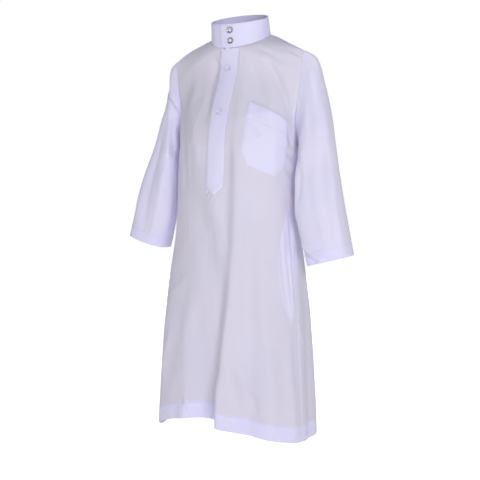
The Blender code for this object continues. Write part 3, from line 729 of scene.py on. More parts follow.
BODY_TINT = (0.640, 0.620, 0.745, 1)
WARM_TINT = (0.652, 0.618, 0.728, 1)
FIRM_TINT = (0.695, 0.674, 0.885, 1)
WARM_FIRM_TINT = (0.690, 0.672, 0.865, 1)
SLEEVE_TINT = (0.690, 0.670, 0.870, 1)
WARM_SLEEVE_TINT = (0.690, 0.665, 0.840, 1)
POCKET_TINT = (0.700, 0.680, 0.875, 1)
WARM_POCKET_TINT = (0.700, 0.675, 0.850, 1)
WHITE = (1.0, 1.0, 1.0, 1.0)
BUMP_DISTANCE = 0.0001


def set_inputs(node, **values):
    """Set a node's inputs by name, with _ for each space."""
    for name, value in values.items():
        node.inputs[name.replace("_", " ")].default_value = value


def add_node(tree, kind, **values):
    """A shader node with some of its inputs set."""
    node = tree.nodes.new("ShaderNode" + kind)
    set_inputs(node, **values)
    return node


def link(tree, *pairs):
    """Join outputs to inputs."""
    for out, into in pairs:
        tree.links.new(out, into)


def math_node(tree, operation, *values):
    """A Math node over sockets or numbers."""
    node = add_node(tree, "Math")
    node.operation = operation
    for place, value in zip(node.inputs, values):
        if isinstance(value, (int, float)):
            place.default_value = value
        else:
            tree.links.new(value, place)
    return node.outputs[0]


def colour_mix(tree):
    """A Mix node for colours."""
    node = add_node(tree, "Mix")
    node.data_type = "RGBA"
    return node


def new_group(name, inputs, outputs):
    """A node group, its inputs seen from inside, and its outputs."""
    group = bpy.data.node_groups.new(name, "ShaderNodeTree")
    for socket, value in inputs.items():
        kind = "NodeSocketColor" if isinstance(value, tuple) else "NodeSocketFloat"
        made = group.interface.new_socket(name=socket, in_out="INPUT", socket_type=kind)
        made.default_value = value
    for socket, kind in outputs.items():
        group.interface.new_socket(name=socket, in_out="OUTPUT", socket_type=kind)
    inside, outside = group.nodes.new("NodeGroupInput"), group.nodes.new("NodeGroupOutput")
    return group, inside.outputs, outside.inputs


def weave_group():
    """Fine plain weave: crossing threads with uneven thickness, as a height and a tone."""
    group, inside, outside = new_group("plain_weave", {"Threads": 1400.0, "Unevenness": 0.5},
                                       {"Height": "NodeSocketFloat", "Tone": "NodeSocketFloat"})
    coordinates = add_node(group, "UVMap").outputs[0]
    split = add_node(group, "SeparateXYZ")
    link(group, (coordinates, split.inputs[0]))
    waves = []
    for part in ("X", "Y"):
        turn = math_node(group, "MULTIPLY", split.outputs[part], inside["Threads"])
        waves.append(math_node(group, "SINE", math_node(group, "MULTIPLY", turn, math.pi)))
    threads = math_node(group, "ABSOLUTE", math_node(group, "MULTIPLY", *waves))
    slubs = []
    for stretch in ((900.0, 30.0, 1.0), (30.0, 900.0, 1.0)):
        mapping = add_node(group, "Mapping", Scale=stretch)
        noise = add_node(group, "TexNoise", Scale=1.0, Detail=2.0)
        link(group, (coordinates, mapping.inputs[0]), (mapping.outputs[0], noise.inputs["Vector"]))
        slubs.append(noise.outputs["Fac"])
    uneven = math_node(group, "MULTIPLY", math_node(group, "ADD", *slubs), inside["Unevenness"])
    link(group, (math_node(group, "ADD", threads, uneven), outside["Height"]), (uneven, outside["Tone"]))
    return group


def tone_group():
    """Cloth colour: a base tint, soft blotches, thread tone, and a whiter tint where cloth is doubled."""
    group, inside, outside = new_group(
        "cloth_tone",
        {"Single": BODY_TINT, "Warm": WARM_TINT, "Doubled": FIRM_TINT,
         "Thread Tone": 0.5, "Thread Depth": 0.04, "Blotch Depth": 0.03},
        {"Color": "NodeSocketColor"})
    layers = add_node(group, "Attribute")
    layers.attribute_name = "doubled"
    place = add_node(group, "TexCoord").outputs["Object"]
    patch = add_node(group, "TexNoise", Scale=9.0)
    spread = add_node(group, "MapRange", From_Min=0.40, From_Max=0.62)
    worn, base = colour_mix(group), colour_mix(group)
    blotch = add_node(group, "TexNoise", Scale=16.0, Detail=3.0)
    link(group, (place, patch.inputs["Vector"]), (patch.outputs["Fac"], spread.inputs["Value"]),
         (spread.outputs[0], worn.inputs["Factor"]), (inside["Single"], worn.inputs["A"]),
         (inside["Warm"], worn.inputs["B"]), (layers.outputs["Fac"], base.inputs["Factor"]),
         (worn.outputs["Result"], base.inputs["A"]), (inside["Doubled"], base.inputs["B"]),
         (place, blotch.inputs["Vector"]))
    soft, fine = (math_node(group, "MULTIPLY", math_node(group, "SUBTRACT", value, 0.5), inside[depth])
                  for value, depth in ((blotch.outputs["Fac"], "Blotch Depth"),
                                       (inside["Thread Tone"], "Thread Depth")))
    change = math_node(group, "ADD", math_node(group, "ADD", soft, fine), 1.0)
    shaded = add_node(group, "VectorMath")
    shaded.operation = "SCALE"
    link(group, (base.outputs["Result"], shaded.inputs[0]), (change, shaded.inputs["Scale"]),
         (shaded.outputs[0], outside["Color"]))
    return group


def new_material(name, **values):
    """A material with its main shader's inputs set, its node tree and that shader's inputs."""
    material = bpy.data.materials.new(name)
    material.use_nodes = True
    shader = material.node_tree.nodes["Principled BSDF"]
    set_inputs(shader, **values)
    return material, material.node_tree, shader.inputs


def cloth_material(name, single, warm, roughness, weave_depth, blotch):
    """Woven cloth from the two shared groups."""
    material, tree, shader = new_material(
        name, Roughness=roughness, Specular_IOR_Level=0.25, Subsurface_Weight=0.35,
        Subsurface_Radius=(1.0, 0.9, 1.0), Subsurface_Scale=0.0015, Sheen_Weight=0.18, Sheen_Roughness=0.45)
    weave, tone = add_node(tree, "Group"), add_node(tree, "Group")
    weave.node_tree, tone.node_tree = WEAVE, TONE
    set_inputs(tone, Single=single, Warm=warm, Doubled=FIRM_TINT, Blotch_Depth=blotch)
    relief = add_node(tree, "Bump", Strength=weave_depth, Distance=BUMP_DISTANCE)
    link(tree, (weave.outputs["Tone"], tone.inputs["Thread Tone"]),
         (tone.outputs["Color"], shader["Base Color"]),
         (weave.outputs["Height"], relief.inputs["Height"]), (relief.outputs["Normal"], shader["Normal"]))
    return material


def noisy_colour(tree, shader, colour, dark_share, scale, **values):
    """Noise that takes a shader's colour from a darker share to the full colour, and its ramp."""
    noise = add_node(tree, "TexNoise", Scale=scale, **values)
    ramp = add_node(tree, "ValToRGB")
    for stop, share in zip(ramp.color_ramp.elements, (dark_share, 1)):
        stop.color = (*[part * share for part in colour], 1)
    link(tree, (add_node(tree, "TexCoord").outputs["Object"], noise.inputs["Vector"]),
         (noise.outputs["Fac"], ramp.inputs[0]), (ramp.outputs[0], shader["Base Color"]))
    return noise.outputs["Fac"], ramp.color_ramp.elements


def thread_material(name, colour):
    """Twisted sewing thread."""
    material, tree, shader = new_material(name, Roughness=0.6)
    noise, _ = noisy_colour(tree, shader, colour, 0.85, 900.0)
    relief = add_node(tree, "Bump", Strength=0.3, Distance=BUMP_DISTANCE)
    link(tree, (noise, relief.inputs["Height"]), (relief.outputs["Normal"], shader["Normal"]))
    return material


def metal_material(name, colour, roughness, metallic):
    """Pressed snap ring, slightly brushed and worn."""
    material, tree, shader = new_material(name, Metallic=metallic)
    noise, stops = noisy_colour(tree, shader, colour, 0.55, 420.0, Detail=3.0)
    stops[0].position, stops[1].position = 0.35, 0.65
    rough = add_node(tree, "MapRange", To_Min=roughness * 0.7, To_Max=roughness * 1.4)
    link(tree, (noise, rough.inputs["Value"]), (rough.outputs[0], shader["Roughness"]))
    return material


WEAVE = weave_group()
TONE = tone_group()
sheer_cloth = cloth_material("sheer_body_cloth", BODY_TINT, WARM_TINT, 0.62, 0.35, 0.05)
sleeve_cloth = cloth_material("sleeve_cloth", SLEEVE_TINT, WARM_SLEEVE_TINT, 0.60, 0.35, 0.05)
firm_cloth = cloth_material("doubled_cloth", FIRM_TINT, WARM_FIRM_TINT, 0.58, 0.30, 0.04)
pocket_cloth = cloth_material("pocket_cloth", POCKET_TINT, WARM_POCKET_TINT, 0.60, 0.35, 0.05)
white_thread = thread_material("white_thread", (0.72, 0.70, 0.86))
soft_thread = thread_material("soft_grey_thread", (0.58, 0.56, 0.72))
# Dark thread for the bottom hem and pocket hem lines: its grey is partly the thread's own colour and partly
# painted shade of the stitched step beside it.
step_shade_thread = thread_material("shadowed_thread", (0.42, 0.40, 0.52))
collar_metal = metal_material("snap_ring_metal", (0.46, 0.47, 0.55), 0.28, 0.9)
placket_metal = metal_material("pale_snap_ring", (0.74, 0.79, 0.95), 0.35, 0.0)


# Body panels and hems

def bag_mask(places):
    """How much the side pocket bags whiten the front over them, 0 to 1."""
    x, y, z = np.moveaxis(places, -1, 0)
    up = (z - BAG_SHOWN_FOOT) / (BAG_SHOWN_TOP - BAG_SHOWN_FOOT)
    belly = np.sin(math.pi * mix(0.10, 0.985, np.clip(up, 0, 1))) ** 0.62
    half_width, middle, half_depth = ring_shape(z)
    angle = np.degrees(np.arctan2(np.abs(x) / half_width, (middle - y) / half_depth))
    inward = np.radians(seam_angle(z) - BAG_SEAM_ANGLE - angle) * half_width
    spare = BAG_WIDTH * belly - inward
    streak = 0.5 + 0.5 * np.sin(inward * 900 + 3 * np.sin(z * 40) + z * 12)
    fill = 0.56 + 0.30 * streak * smooth((0.045 - inward) / 0.03) + 0.38 * bump(spare - 0.0020, 0.0018)
    ends = smooth(up / 0.05 + 0.3 * streak) * (up > 0) * (up < 1)
    return np.clip(fill, 0, 1) * smooth(spare / 0.0016) * ends


def sew_panel(name, back, nodes):
    """The front or back panel, both halves, creased."""
    columns = BACK_COLUMNS if back else FRONT_COLUMNS
    down = np.concatenate([np.linspace(1, 0, SKIRT_ROWS + 1), np.linspace(0, -1, YOKE_ROWS + 1)[1:]])
    down = down[:, None]
    grids = []
    for side, edge in ((1, "right"), (-1, "left")):
        across = np.linspace((1 - side) // 2, (1 + side) // 2, columns + 1)
        places = panel_point(across[None, :], down, back, side)
        seam, shoulder = near_edges(places, edge), near_edges(places, "head")
        groove = -SEAM_GROOVE * bump(seam, SEAM_GROOVE_WIDTH) * np.where(down > 0, 1, YOKE_GROOVE_SHARE)
        relief = groove - 0.0006 * bump(shoulder, 0.0025)
        doubled = 0.0 if back else 0.9 * bag_mask(places) * (down > 0)
        doubled = np.maximum(doubled, 0.55 * bump(seam, 0.0035, 4) * (down > 0.02))
        doubled = np.maximum(doubled, (0.85 if back else 0.5) * bump(shoulder, 0.009, 6))
        along = runs(places, 1)
        flats = stack(along if side > 0 else along - along[:, -1:], runs(places, 0))
        grids.append((dress(places) + body_out(places) * relief[..., None], flats, doubled))
    return cloth_piece(name, grids, CLOTH, sheer_cloth, nodes, back)


def band_places(back, columns=2 * FRONT_COLUMNS, rows=BAND_ROWS):
    """Dressed places of a bottom hem, from its bottom edge up, and its cloth coordinates."""
    across, down = np.meshgrid(np.linspace(-1, 1, columns + 1), np.linspace(1, 0, rows + 1))
    places = band_point(across, down, back)
    along = runs(places, 1)
    twist = 0.00022 * np.sin(along * 700 + down * 9 + 2.0 * np.sin(along * 90))
    fade = np.sin(math.pi * np.clip(down, 0, 1)) ** 0.7
    groove = -SEAM_GROOVE * bump(near_edges(places, "left", "right"), SEAM_GROOVE_WIDTH)
    relief = twist * fade - STITCH_DENT * bump(down, 0.10) + groove
    return dress(places) + body_out(places) * relief[..., None], stack(along, down * HEM_BAND)


def sew_band(name, back, nodes):
    """The turned-up bottom hem of one panel."""
    return cloth_piece(name, [band_places(back)], DOUBLED, firm_cloth, nodes, back)


def sleeve_hem_start():
    """Share of the sleeve where its turned-up hem begins."""
    cuff, before = SLEEVE[-1], SLEEVE[-2]
    run = math.dist((cuff.out_x, cuff.out_z), (before.out_x, before.out_z))
    return 1 - SLEEVE_HEM_BAND * (cuff.t - before.t) / run


def tube_places(side, start, end, rows):
    """Places of a stretch of sleeve, from its lower edge up, with their shares, turns and ways out."""
    turn, t = np.meshgrid(np.linspace(0, 360, SLEEVE_SIDES + 1), np.linspace(end, start, rows + 1))
    places = sleeve_point(t, turn, side)
    return places, t, turn, unit(places - sleeve_section(t, turn, side)[1])


def sew_sleeve(word, side):
    """One sleeve and its turned-up hem."""
    def flats(t, turn):
        return stack(np.radians(turn) * SLEEVE_RADIUS, (1 - t) * SLEEVE_LENGTH)

    start = sleeve_hem_start()
    places, t, turn, out = tube_places(side, 0.0, start, SLEEVE_ROWS)
    run = t * SLEEVE_LENGTH
    cap = 0.0009 * bump(run - 0.004, 0.003) * (1 + 0.5 * np.sin(np.radians(turn) * 46))
    relief = cap - SEAM_GROOVE * bump(wrap_angle(turn - 180), 4.0)
    grid = (places + out * relief[..., None], flats(t, turn), 0.6 * bump(run, 0.006, 4))
    sleeve = cloth_piece(f"sleeve_cloth_{word}", [grid], CLOTH, sleeve_cloth,
                         [f"sleeve_{word}"], side > 0)
    places, t, turn, out = tube_places(side, start, 1.0, SLEEVE_BAND_ROWS)
    down = (t - start) / (1 - start)
    twist = 0.0003 * np.sin(np.radians(turn) * 31 + down * 9) * np.sin(math.pi * down)
    relief = twist - STITCH_DENT * bump(down, 0.10)
    band = cloth_piece(f"sleeve_hem_cloth_{word}", [(places + out * relief[..., None], flats(t, turn))],
                       DOUBLED, firm_cloth, [f"sleeve_hem_{word}"], side > 0)
    return sleeve, band


front = sew_panel("front_cloth", False, ["front_panel"])
back = sew_panel("back_cloth", True, ["back_panel"])
front_band = sew_band("front_hem_cloth", False, ["front_hem"])
back_band = sew_band("back_hem_cloth", True, ["back_hem"])
left_sleeve, left_cuff = sew_sleeve("left", 1)
right_sleeve, right_cuff = sew_sleeve("right", -1)
front_tree = BVHTree.FromPolygons([vertex.co.copy() for vertex in front.data.vertices],
                                  [tuple(face.vertices) for face in front.data.polygons])


# Collar

def sew_collar():
    """The stand collar, with a pressed seam and a stitched line along its edges."""
    share, up = np.meshgrid(np.linspace(1, 0, COLLAR_COLUMNS + 1), np.linspace(0, 1, COLLAR_ROWS + 1))
    places = collar_place(share, up)
    edge, foot = near_edges(places, "left", "right", "head"), near_edges(places, "foot")
    along = runs(places, 1)
    relief = (-0.0006 * bump(edge, 0.0011) - 0.00025 * bump(edge - 0.0035, STITCH_DENT_WIDTH)
              + 0.0004 * bump(foot - 0.003, 0.002)
              + 0.00025 * np.sin(along * 55 + 1.2) * np.sin(math.pi * up)
              + 0.00018 * np.sin(along * 121 + up * 4))
    places = places + surface_normals(places) * relief[..., None]
    return cloth_piece("collar_cloth", [(places, stack(along, up * COLLAR_HEIGHT))], COLLAR_WALL,
                       firm_cloth, ["collar"])


collar = sew_collar()


# Placket, laid on the dressed front

PROBE_REACH = 0.010
HALF_REACH = 0.005
PROBE_OFF_EDGE = 0.00003
FACING_STEP = 0.01
PLACKET_POINT_SHARE = 0.12
PLACKET_POINT_SLOPE = 0.76
PLACKET_LIFT = LAYER_GAP + INTERLINED


def on_front(x, z, out):
    """Point of the front cloth at x and z, moved out along its own slope."""
    def hit(across, up):
        start = Vector((x + across + PROBE_OFF_EDGE, -1, z + up + PROBE_OFF_EDGE))
        return front_tree.ray_cast(start, Vector((0, 1, 0)))[0]

    found = [spot for spot in (hit(-HALF_REACH, 0), hit(0, 0), hit(HALF_REACH, 0)) if spot]
    middle = sum(found, Vector()) / len(found)
    steps = ((-PROBE_REACH, 0), (PROBE_REACH, 0), (0, -PROBE_REACH), (0, PROBE_REACH))
    right, left, below, above = (hit(*step) or middle for step in steps)
    return middle + (left - right).cross(above - below).normalized() * out


def facing_out(x, z, out):
    """Which way the front cloth faces at x and z."""
    return (on_front(x, z, out + FACING_STEP) - on_front(x, z, out)).normalized()


def placket_shift(up):
    """How far the placket's top leans to the left side."""
    return 0.0024 * max(0.0, 2 * up - 1) ** 2


def placket_half(up):
    """Half the placket's width."""
    return mix(PLACKET_HALF_TOP, PLACKET_HALF_FOOT, 1 - up)


def placket_spot(across, up):
    """x and z of a place on the placket, and how far it is from the sewn edge."""
    side = 2 * across - 1
    half = placket_half(up)
    point = (PLACKET_SHOULDER - PLACKET_TIP) * (1 - abs(side))
    z = mix(PLACKET_SHOULDER, PLACKET_TOP, up) - point * max(0.0, 1 - up / PLACKET_POINT_SHARE)
    edge = min(half - abs(side * half), (z - PLACKET_SHOULDER + point) * PLACKET_POINT_SLOPE)
    return side * half + placket_shift(up), z, edge


def sew_placket():
    """The placket: pressed edges, a stitched line inside them, and slight puckers."""
    places = np.zeros((PLACKET_ROWS + 1, PLACKET_COLUMNS + 1, 3))
    for row, column in np.ndindex(places.shape[:2]):
        x, z, edge = placket_spot(column / PLACKET_COLUMNS, row / PLACKET_ROWS)
        pucker = 0.00022 * math.sin(z * 260 + (2.0 if x > 0 else 0.0)) * bump(edge, 0.006)
        dent = STITCH_DENT * bump(edge - EDGE_STITCH, STITCH_DENT_WIDTH)
        places[row, column] = on_front(x, z, PLACKET_LIFT - 0.0010 * bump(edge, 0.0016) - dent + pucker)
    return cloth_piece("placket_cloth", [(places, stack(runs(places, 1), runs(places, 0)))], PLACKET_WALL,
                       firm_cloth, ["placket"])


placket = sew_placket()


# Chest pocket

def front_at(across, z):
    """Places of the front's left half at shares across and heights, creased."""
    low, high = np.full(across.shape, -1.0), np.full(across.shape, 1.0)
    for _ in range(26):
        down = (low + high) / 2
        above = panel_point(across, down, False, 1)[..., 2] > z
        low, high = np.where(above, down, low), np.where(above, high, down)
    return dress(panel_point(across, low, False, 1))


def pocket_base(across, down):
    """Creased front beneath two shares of the pocket, with the lower corners cut."""
    cut = np.clip(((down - 1) * POCKET_HEIGHT + POCKET_CORNER) / POCKET_CORNER, 0, 1)
    across = mix(across, 0.5, cut * POCKET_CORNER_SHARE)
    (top_across, top_z), (foot_across, foot_z) = (
        [mix(*ends, across) for ends in zip(*edge)] for edge in (POCKET_TOP, POCKET_FOOT))
    top_z = top_z + POCKET_TOP_ARCH * 4 * across * (1 - across)
    return front_at(mix(top_across, foot_across, down), mix(top_z, foot_z, down))


def sew_pocket(name, start, end, rows, lift, wall, material, nodes):
    """A stretch of the chest pocket, its edges pressed and stitched."""
    across, down = np.meshgrid(np.linspace(0, 1, POCKET_COLUMNS + 1), np.linspace(end, start, rows + 1))
    base = pocket_base(across, down)
    lower = end == 1.0
    edge = near_edges(base, "left", "right", "foot" if lower else "head")
    out = lift - (lift - wall - 0.0001) * bump(edge, 0.0018)
    out = out - STITCH_DENT * bump(edge - EDGE_STITCH, STITCH_DENT_WIDTH)
    if lower:
        share = np.clip((down - start) / (end - start), 0, 1)
        middle = np.sin(math.pi * across) * np.sin(math.pi * share)
        out = out + 0.0010 * middle + 0.0005 * bump(across - 0.25 - 0.2 * down, 0.10) * middle
    else:
        out = out - 0.0010 * bump(near_edges(base, "foot"), 0.0010)
    places = base + surface_normals(base) * out[..., None]
    return cloth_piece(name, [(places, stack(runs(places, 1), runs(places, 0)))], wall,
                       material, nodes)


pocket_hem = sew_pocket("chest_pocket_hem_cloth", 0.0, POCKET_SPLIT, POCKET_HEM_ROWS, POCKET_HEM_LIFT,
                        DOUBLED, firm_cloth, ["chest_pocket_hem"])
pocket = sew_pocket("chest_pocket_cloth", POCKET_SPLIT, 1.0, POCKET_ROWS, POCKET_LIFT,
                    POCKET_WALL, pocket_cloth, ["chest_pocket"])


# Side pocket bags, inside the front

def sew_bag(word, side):
    """A side pocket bag, behind the front panel and beside the seam."""
    across, up = np.meshgrid(np.linspace(0, 1, BAG_COLUMNS + 1), np.linspace(0, 1, BAG_ROWS + 1))
    z = mix(BAG_FOOT, BAG_TOP, up)
    belly = np.sin(math.pi * mix(*BAG_BELLY, up)) ** BAG_ROUNDNESS
    span = np.degrees(BAG_WIDTH * belly / ring_shape(z)[0])
    angle = side * (seam_angle(z) - BAG_SEAM_ANGLE - span * (1 - across))
    flats = stack(across * BAG_WIDTH, up * (BAG_TOP - BAG_FOOT))
    return cloth_piece(f"side_pocket_cloth_{word}", [(dress(ring_point(angle, z, BAG_INWARD)), flats)],
                       POCKET_WALL, pocket_cloth, [f"side_pocket_{word}"], side < 0)


bags = [sew_bag("left", 1), sew_bag("right", -1)]


# Snaps

RING_PROFILE = table(
    "radius height",
    (0.50, 0.05), (0.52, 0.34), (0.60, 0.44), (0.70, 0.50), (0.76, 0.78),
    (0.82, 0.97), (0.88, 1.0), (0.94, 0.90), (0.99, 0.60), (1.0, 0.02),
)
DOME_PROFILE = table("radius height", (0.0, 0.42), (0.20, 0.40), (0.38, 0.30), (0.52, 0.12), (0.56, 0.0))


def turned_piece(name, profile, place, facing, material, nodes):
    """A piece turned from a profile, stood on its place and facing out."""
    ring = bmesh.new()
    corners = [ring.verts.new((turned.radius * SNAP_RADIUS, 0, turned.height * SNAP_HEIGHT))
               for turned in profile]
    edges = [ring.edges.new(pair) for pair in zip(corners, corners[1:])]
    if profile[0].radius > 0:
        edges.append(ring.edges.new((corners[-1], corners[0])))
    bmesh.ops.spin(ring, geom=corners + edges, axis=(0, 0, 1), cent=(0, 0, 0),
                   angle=2 * math.pi, steps=SNAP_SIDES, use_merge=True)
    bmesh.ops.remove_doubles(ring, verts=ring.verts, dist=MERGE)
    bmesh.ops.holes_fill(ring, edges=[edge for edge in ring.edges if edge.is_boundary], sides=0)
    bmesh.ops.recalc_face_normals(ring, faces=ring.faces)
    turn = Vector((0, 0, 1)).rotation_difference(facing).to_matrix()
    bmesh.ops.rotate(ring, verts=ring.verts, cent=(0, 0, 0), matrix=turn)
    bmesh.ops.translate(ring, verts=ring.verts, vec=place)
    return finish_piece(name, ring, 0, material, nodes)


def add_snap(name, place, facing, metal):
    """A pressed ring round a small dome of cloth."""
    place = place + facing * SNAP_LIFT
    turned_piece(name + "_ring", RING_PROFILE, place, facing, metal, [name])
    turned_piece(name + "_dome", DOME_PROFILE, place, facing, pocket_cloth, [])


def add_snaps():
    """Two snaps up the lapped end of the collar and two on the placket."""
    share = np.array((COLLAR_END_ANGLE + 2 * math.pi - COLLAR_SNAP_TURN) / COLLAR_RUN)
    for name, up in COLLAR_SNAPS:
        facing = Vector(slope(collar_place, share, np.array(up), SNAP_PROBE, SNAP_PROBE))
        if facing.y > 0:
            facing = -facing
        add_snap(name, Vector(collar_place(share, np.array(up))), facing, collar_metal)
    for name, z in PLACKET_SNAPS:
        spot = (PLACKET_SNAP_X, z, PLACKET_LIFT)
        add_snap(name, on_front(*spot), facing_out(*spot), placket_metal)


add_snaps()


# Stitching

STITCH_LENGTH = 0.0021
STITCH_PITCH = 0.0030
STITCH_WIDTH = 0.00028
SHORTEST_STITCH = 0.4
STITCH_SUNK = 0.0002
PLACKET_STITCH_STEP = 0.001
POCKET_STITCH_INSET = 0.036
POCKET_STITCH_FOOT = 0.975
COLLAR_STITCH_HEIGHTS = (0.085, 0.915)


def sew_row(surface, points, normals):
    """A row of stitches along a line of points on the cloth."""
    steps = np.linalg.norm(np.diff(points, axis=0), axis=1)
    run = np.concatenate([[0], np.cumsum(steps)])
    for spot in np.arange(STITCH_PITCH / 2, run[-1], STITCH_PITCH):
        start, end = (np.array([np.interp(spot + half, run, points[:, k]) for k in range(3)])
                      for half in (-STITCH_LENGTH / 2, STITCH_LENGTH / 2))
        normal = Vector([np.interp(spot, run, normals[:, k]) for k in range(3)]).normalized()
        along = Vector(end - start)
        if along.length < STITCH_LENGTH * SHORTEST_STITCH:
            continue
        along.normalize()
        sideways = normal.cross(along).normalized()
        middle = Vector((start + end) / 2) + normal * STITCH_WIDTH * 0.3
        axes = (sideways * STITCH_WIDTH, along * STITCH_LENGTH / 2, normal * STITCH_WIDTH)
        turn = Matrix([[*(axis[k] for axis in axes), middle[k]] for k in range(3)] + [[0, 0, 0, 1]])
        bmesh.ops.create_uvsphere(surface, u_segments=6, v_segments=5, radius=1.0, matrix=turn)


def stitch_piece(name, rows, material):
    """One piece of stitching from several rows."""
    surface = bmesh.new()
    for points, normals in rows:
        sew_row(surface, points, normals)
    bmesh.ops.recalc_face_normals(surface, faces=surface.faces)
    return finish_piece(name, surface, 0, material, [])


def hem_rows():
    """Stitches along the bottom hem's turned edge."""
    for is_back in (False, True):
        places, _ = band_places(is_back, 400, 30)
        yield places[-3], surface_normals(places)[-3] * (-1 if is_back else 1)


def cuff_rows():
    """Stitches along the sleeve hems' turned edges."""
    for side in (1, -1):
        places = tube_places(side, sleeve_hem_start() + 0.004, sleeve_hem_start() + 0.012, 2)[0]
        yield places[1], surface_normals(places)[1] * (-side)


def placket_rows():
    """Stitches inside the placket's edges and point."""
    spots = [(placket_half(up) - EDGE_STITCH, mix(PLACKET_SHOULDER, PLACKET_TOP, up))
             for up in np.linspace(0.985, 0.02, 150)]
    spots.append((0.0, PLACKET_TIP + EDGE_STITCH * 1.3))
    spots = spots + [(-x, z) for x, z in spots[-2::-1]]
    fine = []
    for (x0, z0), (x1, z1) in zip(spots[:-1], spots[1:]):
        parts = max(1, int(math.dist((x0, z0), (x1, z1)) / PLACKET_STITCH_STEP))
        fine += [(mix(x0, x1, k / parts), mix(z0, z1, k / parts)) for k in range(parts)]
    height = PLACKET_TOP - PLACKET_SHOULDER
    fine = [(x + placket_shift((z - PLACKET_SHOULDER) / height), z, PLACKET_LIFT - STITCH_DENT)
            for x, z in fine]
    yield np.array([on_front(*spot) for spot in fine]), np.array([facing_out(*spot) for spot in fine])


def pocket_line(across, down):
    """A line on the pocket's face, with normals."""
    normals = slope(pocket_base, across, down, 0.01, -0.01)
    lift = np.where(down < POCKET_SPLIT, POCKET_HEM_LIFT, POCKET_LIFT)
    return pocket_base(across, down) + normals * (lift - STITCH_SUNK)[..., None], normals


def pocket_rows():
    """Stitches round the pocket's sides and foot."""
    inset, count = POCKET_STITCH_INSET, 60
    for across in (inset, 1 - inset):
        yield pocket_line(np.full(count, across), np.linspace(0.01, POCKET_STITCH_FOOT, count))
    yield pocket_line(np.linspace(inset, 1 - inset, count), np.full(count, POCKET_STITCH_FOOT))


def collar_line(share, up):
    """A line on the collar's face, with normals."""
    normals = slope(collar_place, share, up, -0.002, 0.02)
    return collar_place(share, up) - normals * STITCH_SUNK, normals


def collar_rows():
    """Stitches round the collar, just inside its edges."""
    for up in COLLAR_STITCH_HEIGHTS:
        yield collar_line(np.linspace(0.99, 0.01, 400), np.full(400, up))
    yield collar_line(np.full(30, 0.991), np.linspace(0.10, 0.90, 30))


hem_stitches = stitch_piece("hem_stitches", hem_rows(), step_shade_thread)
cuff_stitches = stitch_piece("cuff_stitches", cuff_rows(), soft_thread)
placket_stitches = stitch_piece("placket_stitches", placket_rows(), white_thread)
pocket_stitches = stitch_piece("pocket_stitches", pocket_rows(), white_thread)
pocket_hem_line = pocket_line(np.linspace(0.02, 0.98, 60), np.full(60, POCKET_SPLIT - 0.02))
pocket_hem_stitches = stitch_piece("pocket_hem_stitches", [pocket_hem_line], step_shade_thread)
collar_stitches = stitch_piece("collar_stitches", collar_rows(), white_thread)

# Floor, light and camera
FLOOR_Z = -0.80
FLOOR_RADIUS = 30.0
FLOOR_TINT = (0.6, 0.6, 0.6, 1)
SURROUND_TINT = (0.96, 0.97, 1.0, 1)
LIGHTS = (
    ("key", (1.85, -1.85, 0.45), (0, 0, -0.34), 0.9, 34.5),
    ("front", (-0.85, -2.3, -0.55), (0, 0, -0.55), 0.4, 7.5),
    ("behind", (-1.4, 2.3, 0.3), (0, 0, -0.35), 1.2, 30),
)
SENSOR_WIDTH = 36
FOCAL_PIXELS = 1066.02
PICTURE_PIXELS = 480
CAMERA_TURN = math.radians(30.17)
CAMERA_DISTANCE = 1.9665
CAMERA_Z = -0.19
CAMERA_DIP = 0.0601


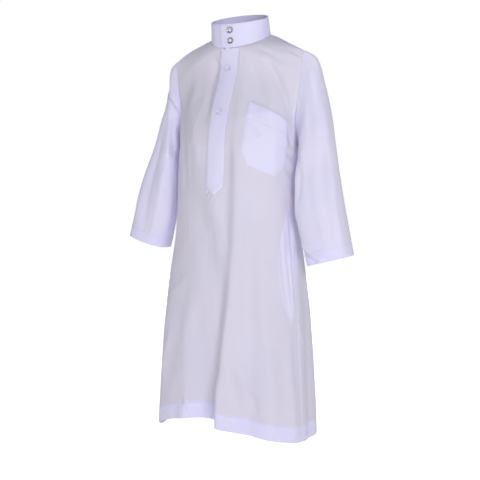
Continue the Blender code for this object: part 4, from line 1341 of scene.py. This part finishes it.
def add_floor():
    """A plain pale floor."""
    surface = bmesh.new()
    bmesh.ops.create_circle(surface, cap_ends=True, segments=96, radius=FLOOR_RADIUS)
    bmesh.ops.translate(surface, verts=surface.verts, vec=(0, 0, FLOOR_Z))
    mesh = bpy.data.meshes.new("floor")
    surface.to_mesh(mesh)
    surface.free()
    floor = bpy.data.objects.new("floor", mesh)
    bpy.context.scene.collection.objects.link(floor)
    material, tree, shader = new_material("pale_floor", Base_Color=FLOOR_TINT, Roughness=0.9,
                                          Specular_IOR_Level=0.0, Emission_Color=WHITE)
    path = add_node(tree, "LightPath")
    glow = add_node(tree, "MapRange", To_Min=0.50, To_Max=0.84)
    link(tree, (path.outputs["Is Camera Ray"], glow.inputs["Value"]),
         (glow.outputs[0], shader["Emission Strength"]))
    mesh.materials.append(material)


def add_light(name, place, target, size, power):
    """A soft square light aimed at a point."""
    data = bpy.data.lights.new(name, "AREA")
    data.shape = "SQUARE"
    data.size = size
    data.energy = power
    lamp = bpy.data.objects.new(name, data)
    lamp.location = place
    lamp.rotation_euler = (Vector(target) - Vector(place)).to_track_quat("-Z", "Y").to_euler()
    bpy.context.scene.collection.objects.link(lamp)


def add_world():
    """An even white surround, a little dimmer as light than as background."""
    world = bpy.data.worlds.new("studio")
    world.use_nodes = True
    tree = world.node_tree
    shown = tree.nodes["Background"]
    set_inputs(shown, Color=WHITE, Strength=1.0)
    lit = add_node(tree, "Background", Color=SURROUND_TINT, Strength=0.30)
    path = add_node(tree, "LightPath")
    blend = add_node(tree, "MixShader")
    link(tree, (path.outputs["Is Camera Ray"], blend.inputs[0]), (lit.outputs[0], blend.inputs[1]),
         (shown.outputs[0], blend.inputs[2]),
         (blend.outputs[0], tree.nodes["World Output"].inputs["Surface"]))
    bpy.context.scene.world = world


def add_camera():
    """The camera, at the photograph's angle."""
    data = bpy.data.cameras.new("camera")
    data.sensor_width = SENSOR_WIDTH
    data.lens = FOCAL_PIXELS / PICTURE_PIXELS * SENSOR_WIDTH
    data.shift_x = -0.002
    data.shift_y = -0.07
    camera = bpy.data.objects.new("camera", data)
    camera.location = (CAMERA_DISTANCE * math.sin(CAMERA_TURN),
                       -CAMERA_DISTANCE * math.cos(CAMERA_TURN), CAMERA_Z)
    camera.rotation_euler = (math.pi / 2 - CAMERA_DIP, 0, CAMERA_TURN)
    bpy.context.scene.collection.objects.link(camera)
    bpy.context.scene.camera = camera


add_floor()
add_world()
for light in LIGHTS:
    add_light(*light)
add_camera()
bpy.context.scene.view_settings.view_transform = "Standard"
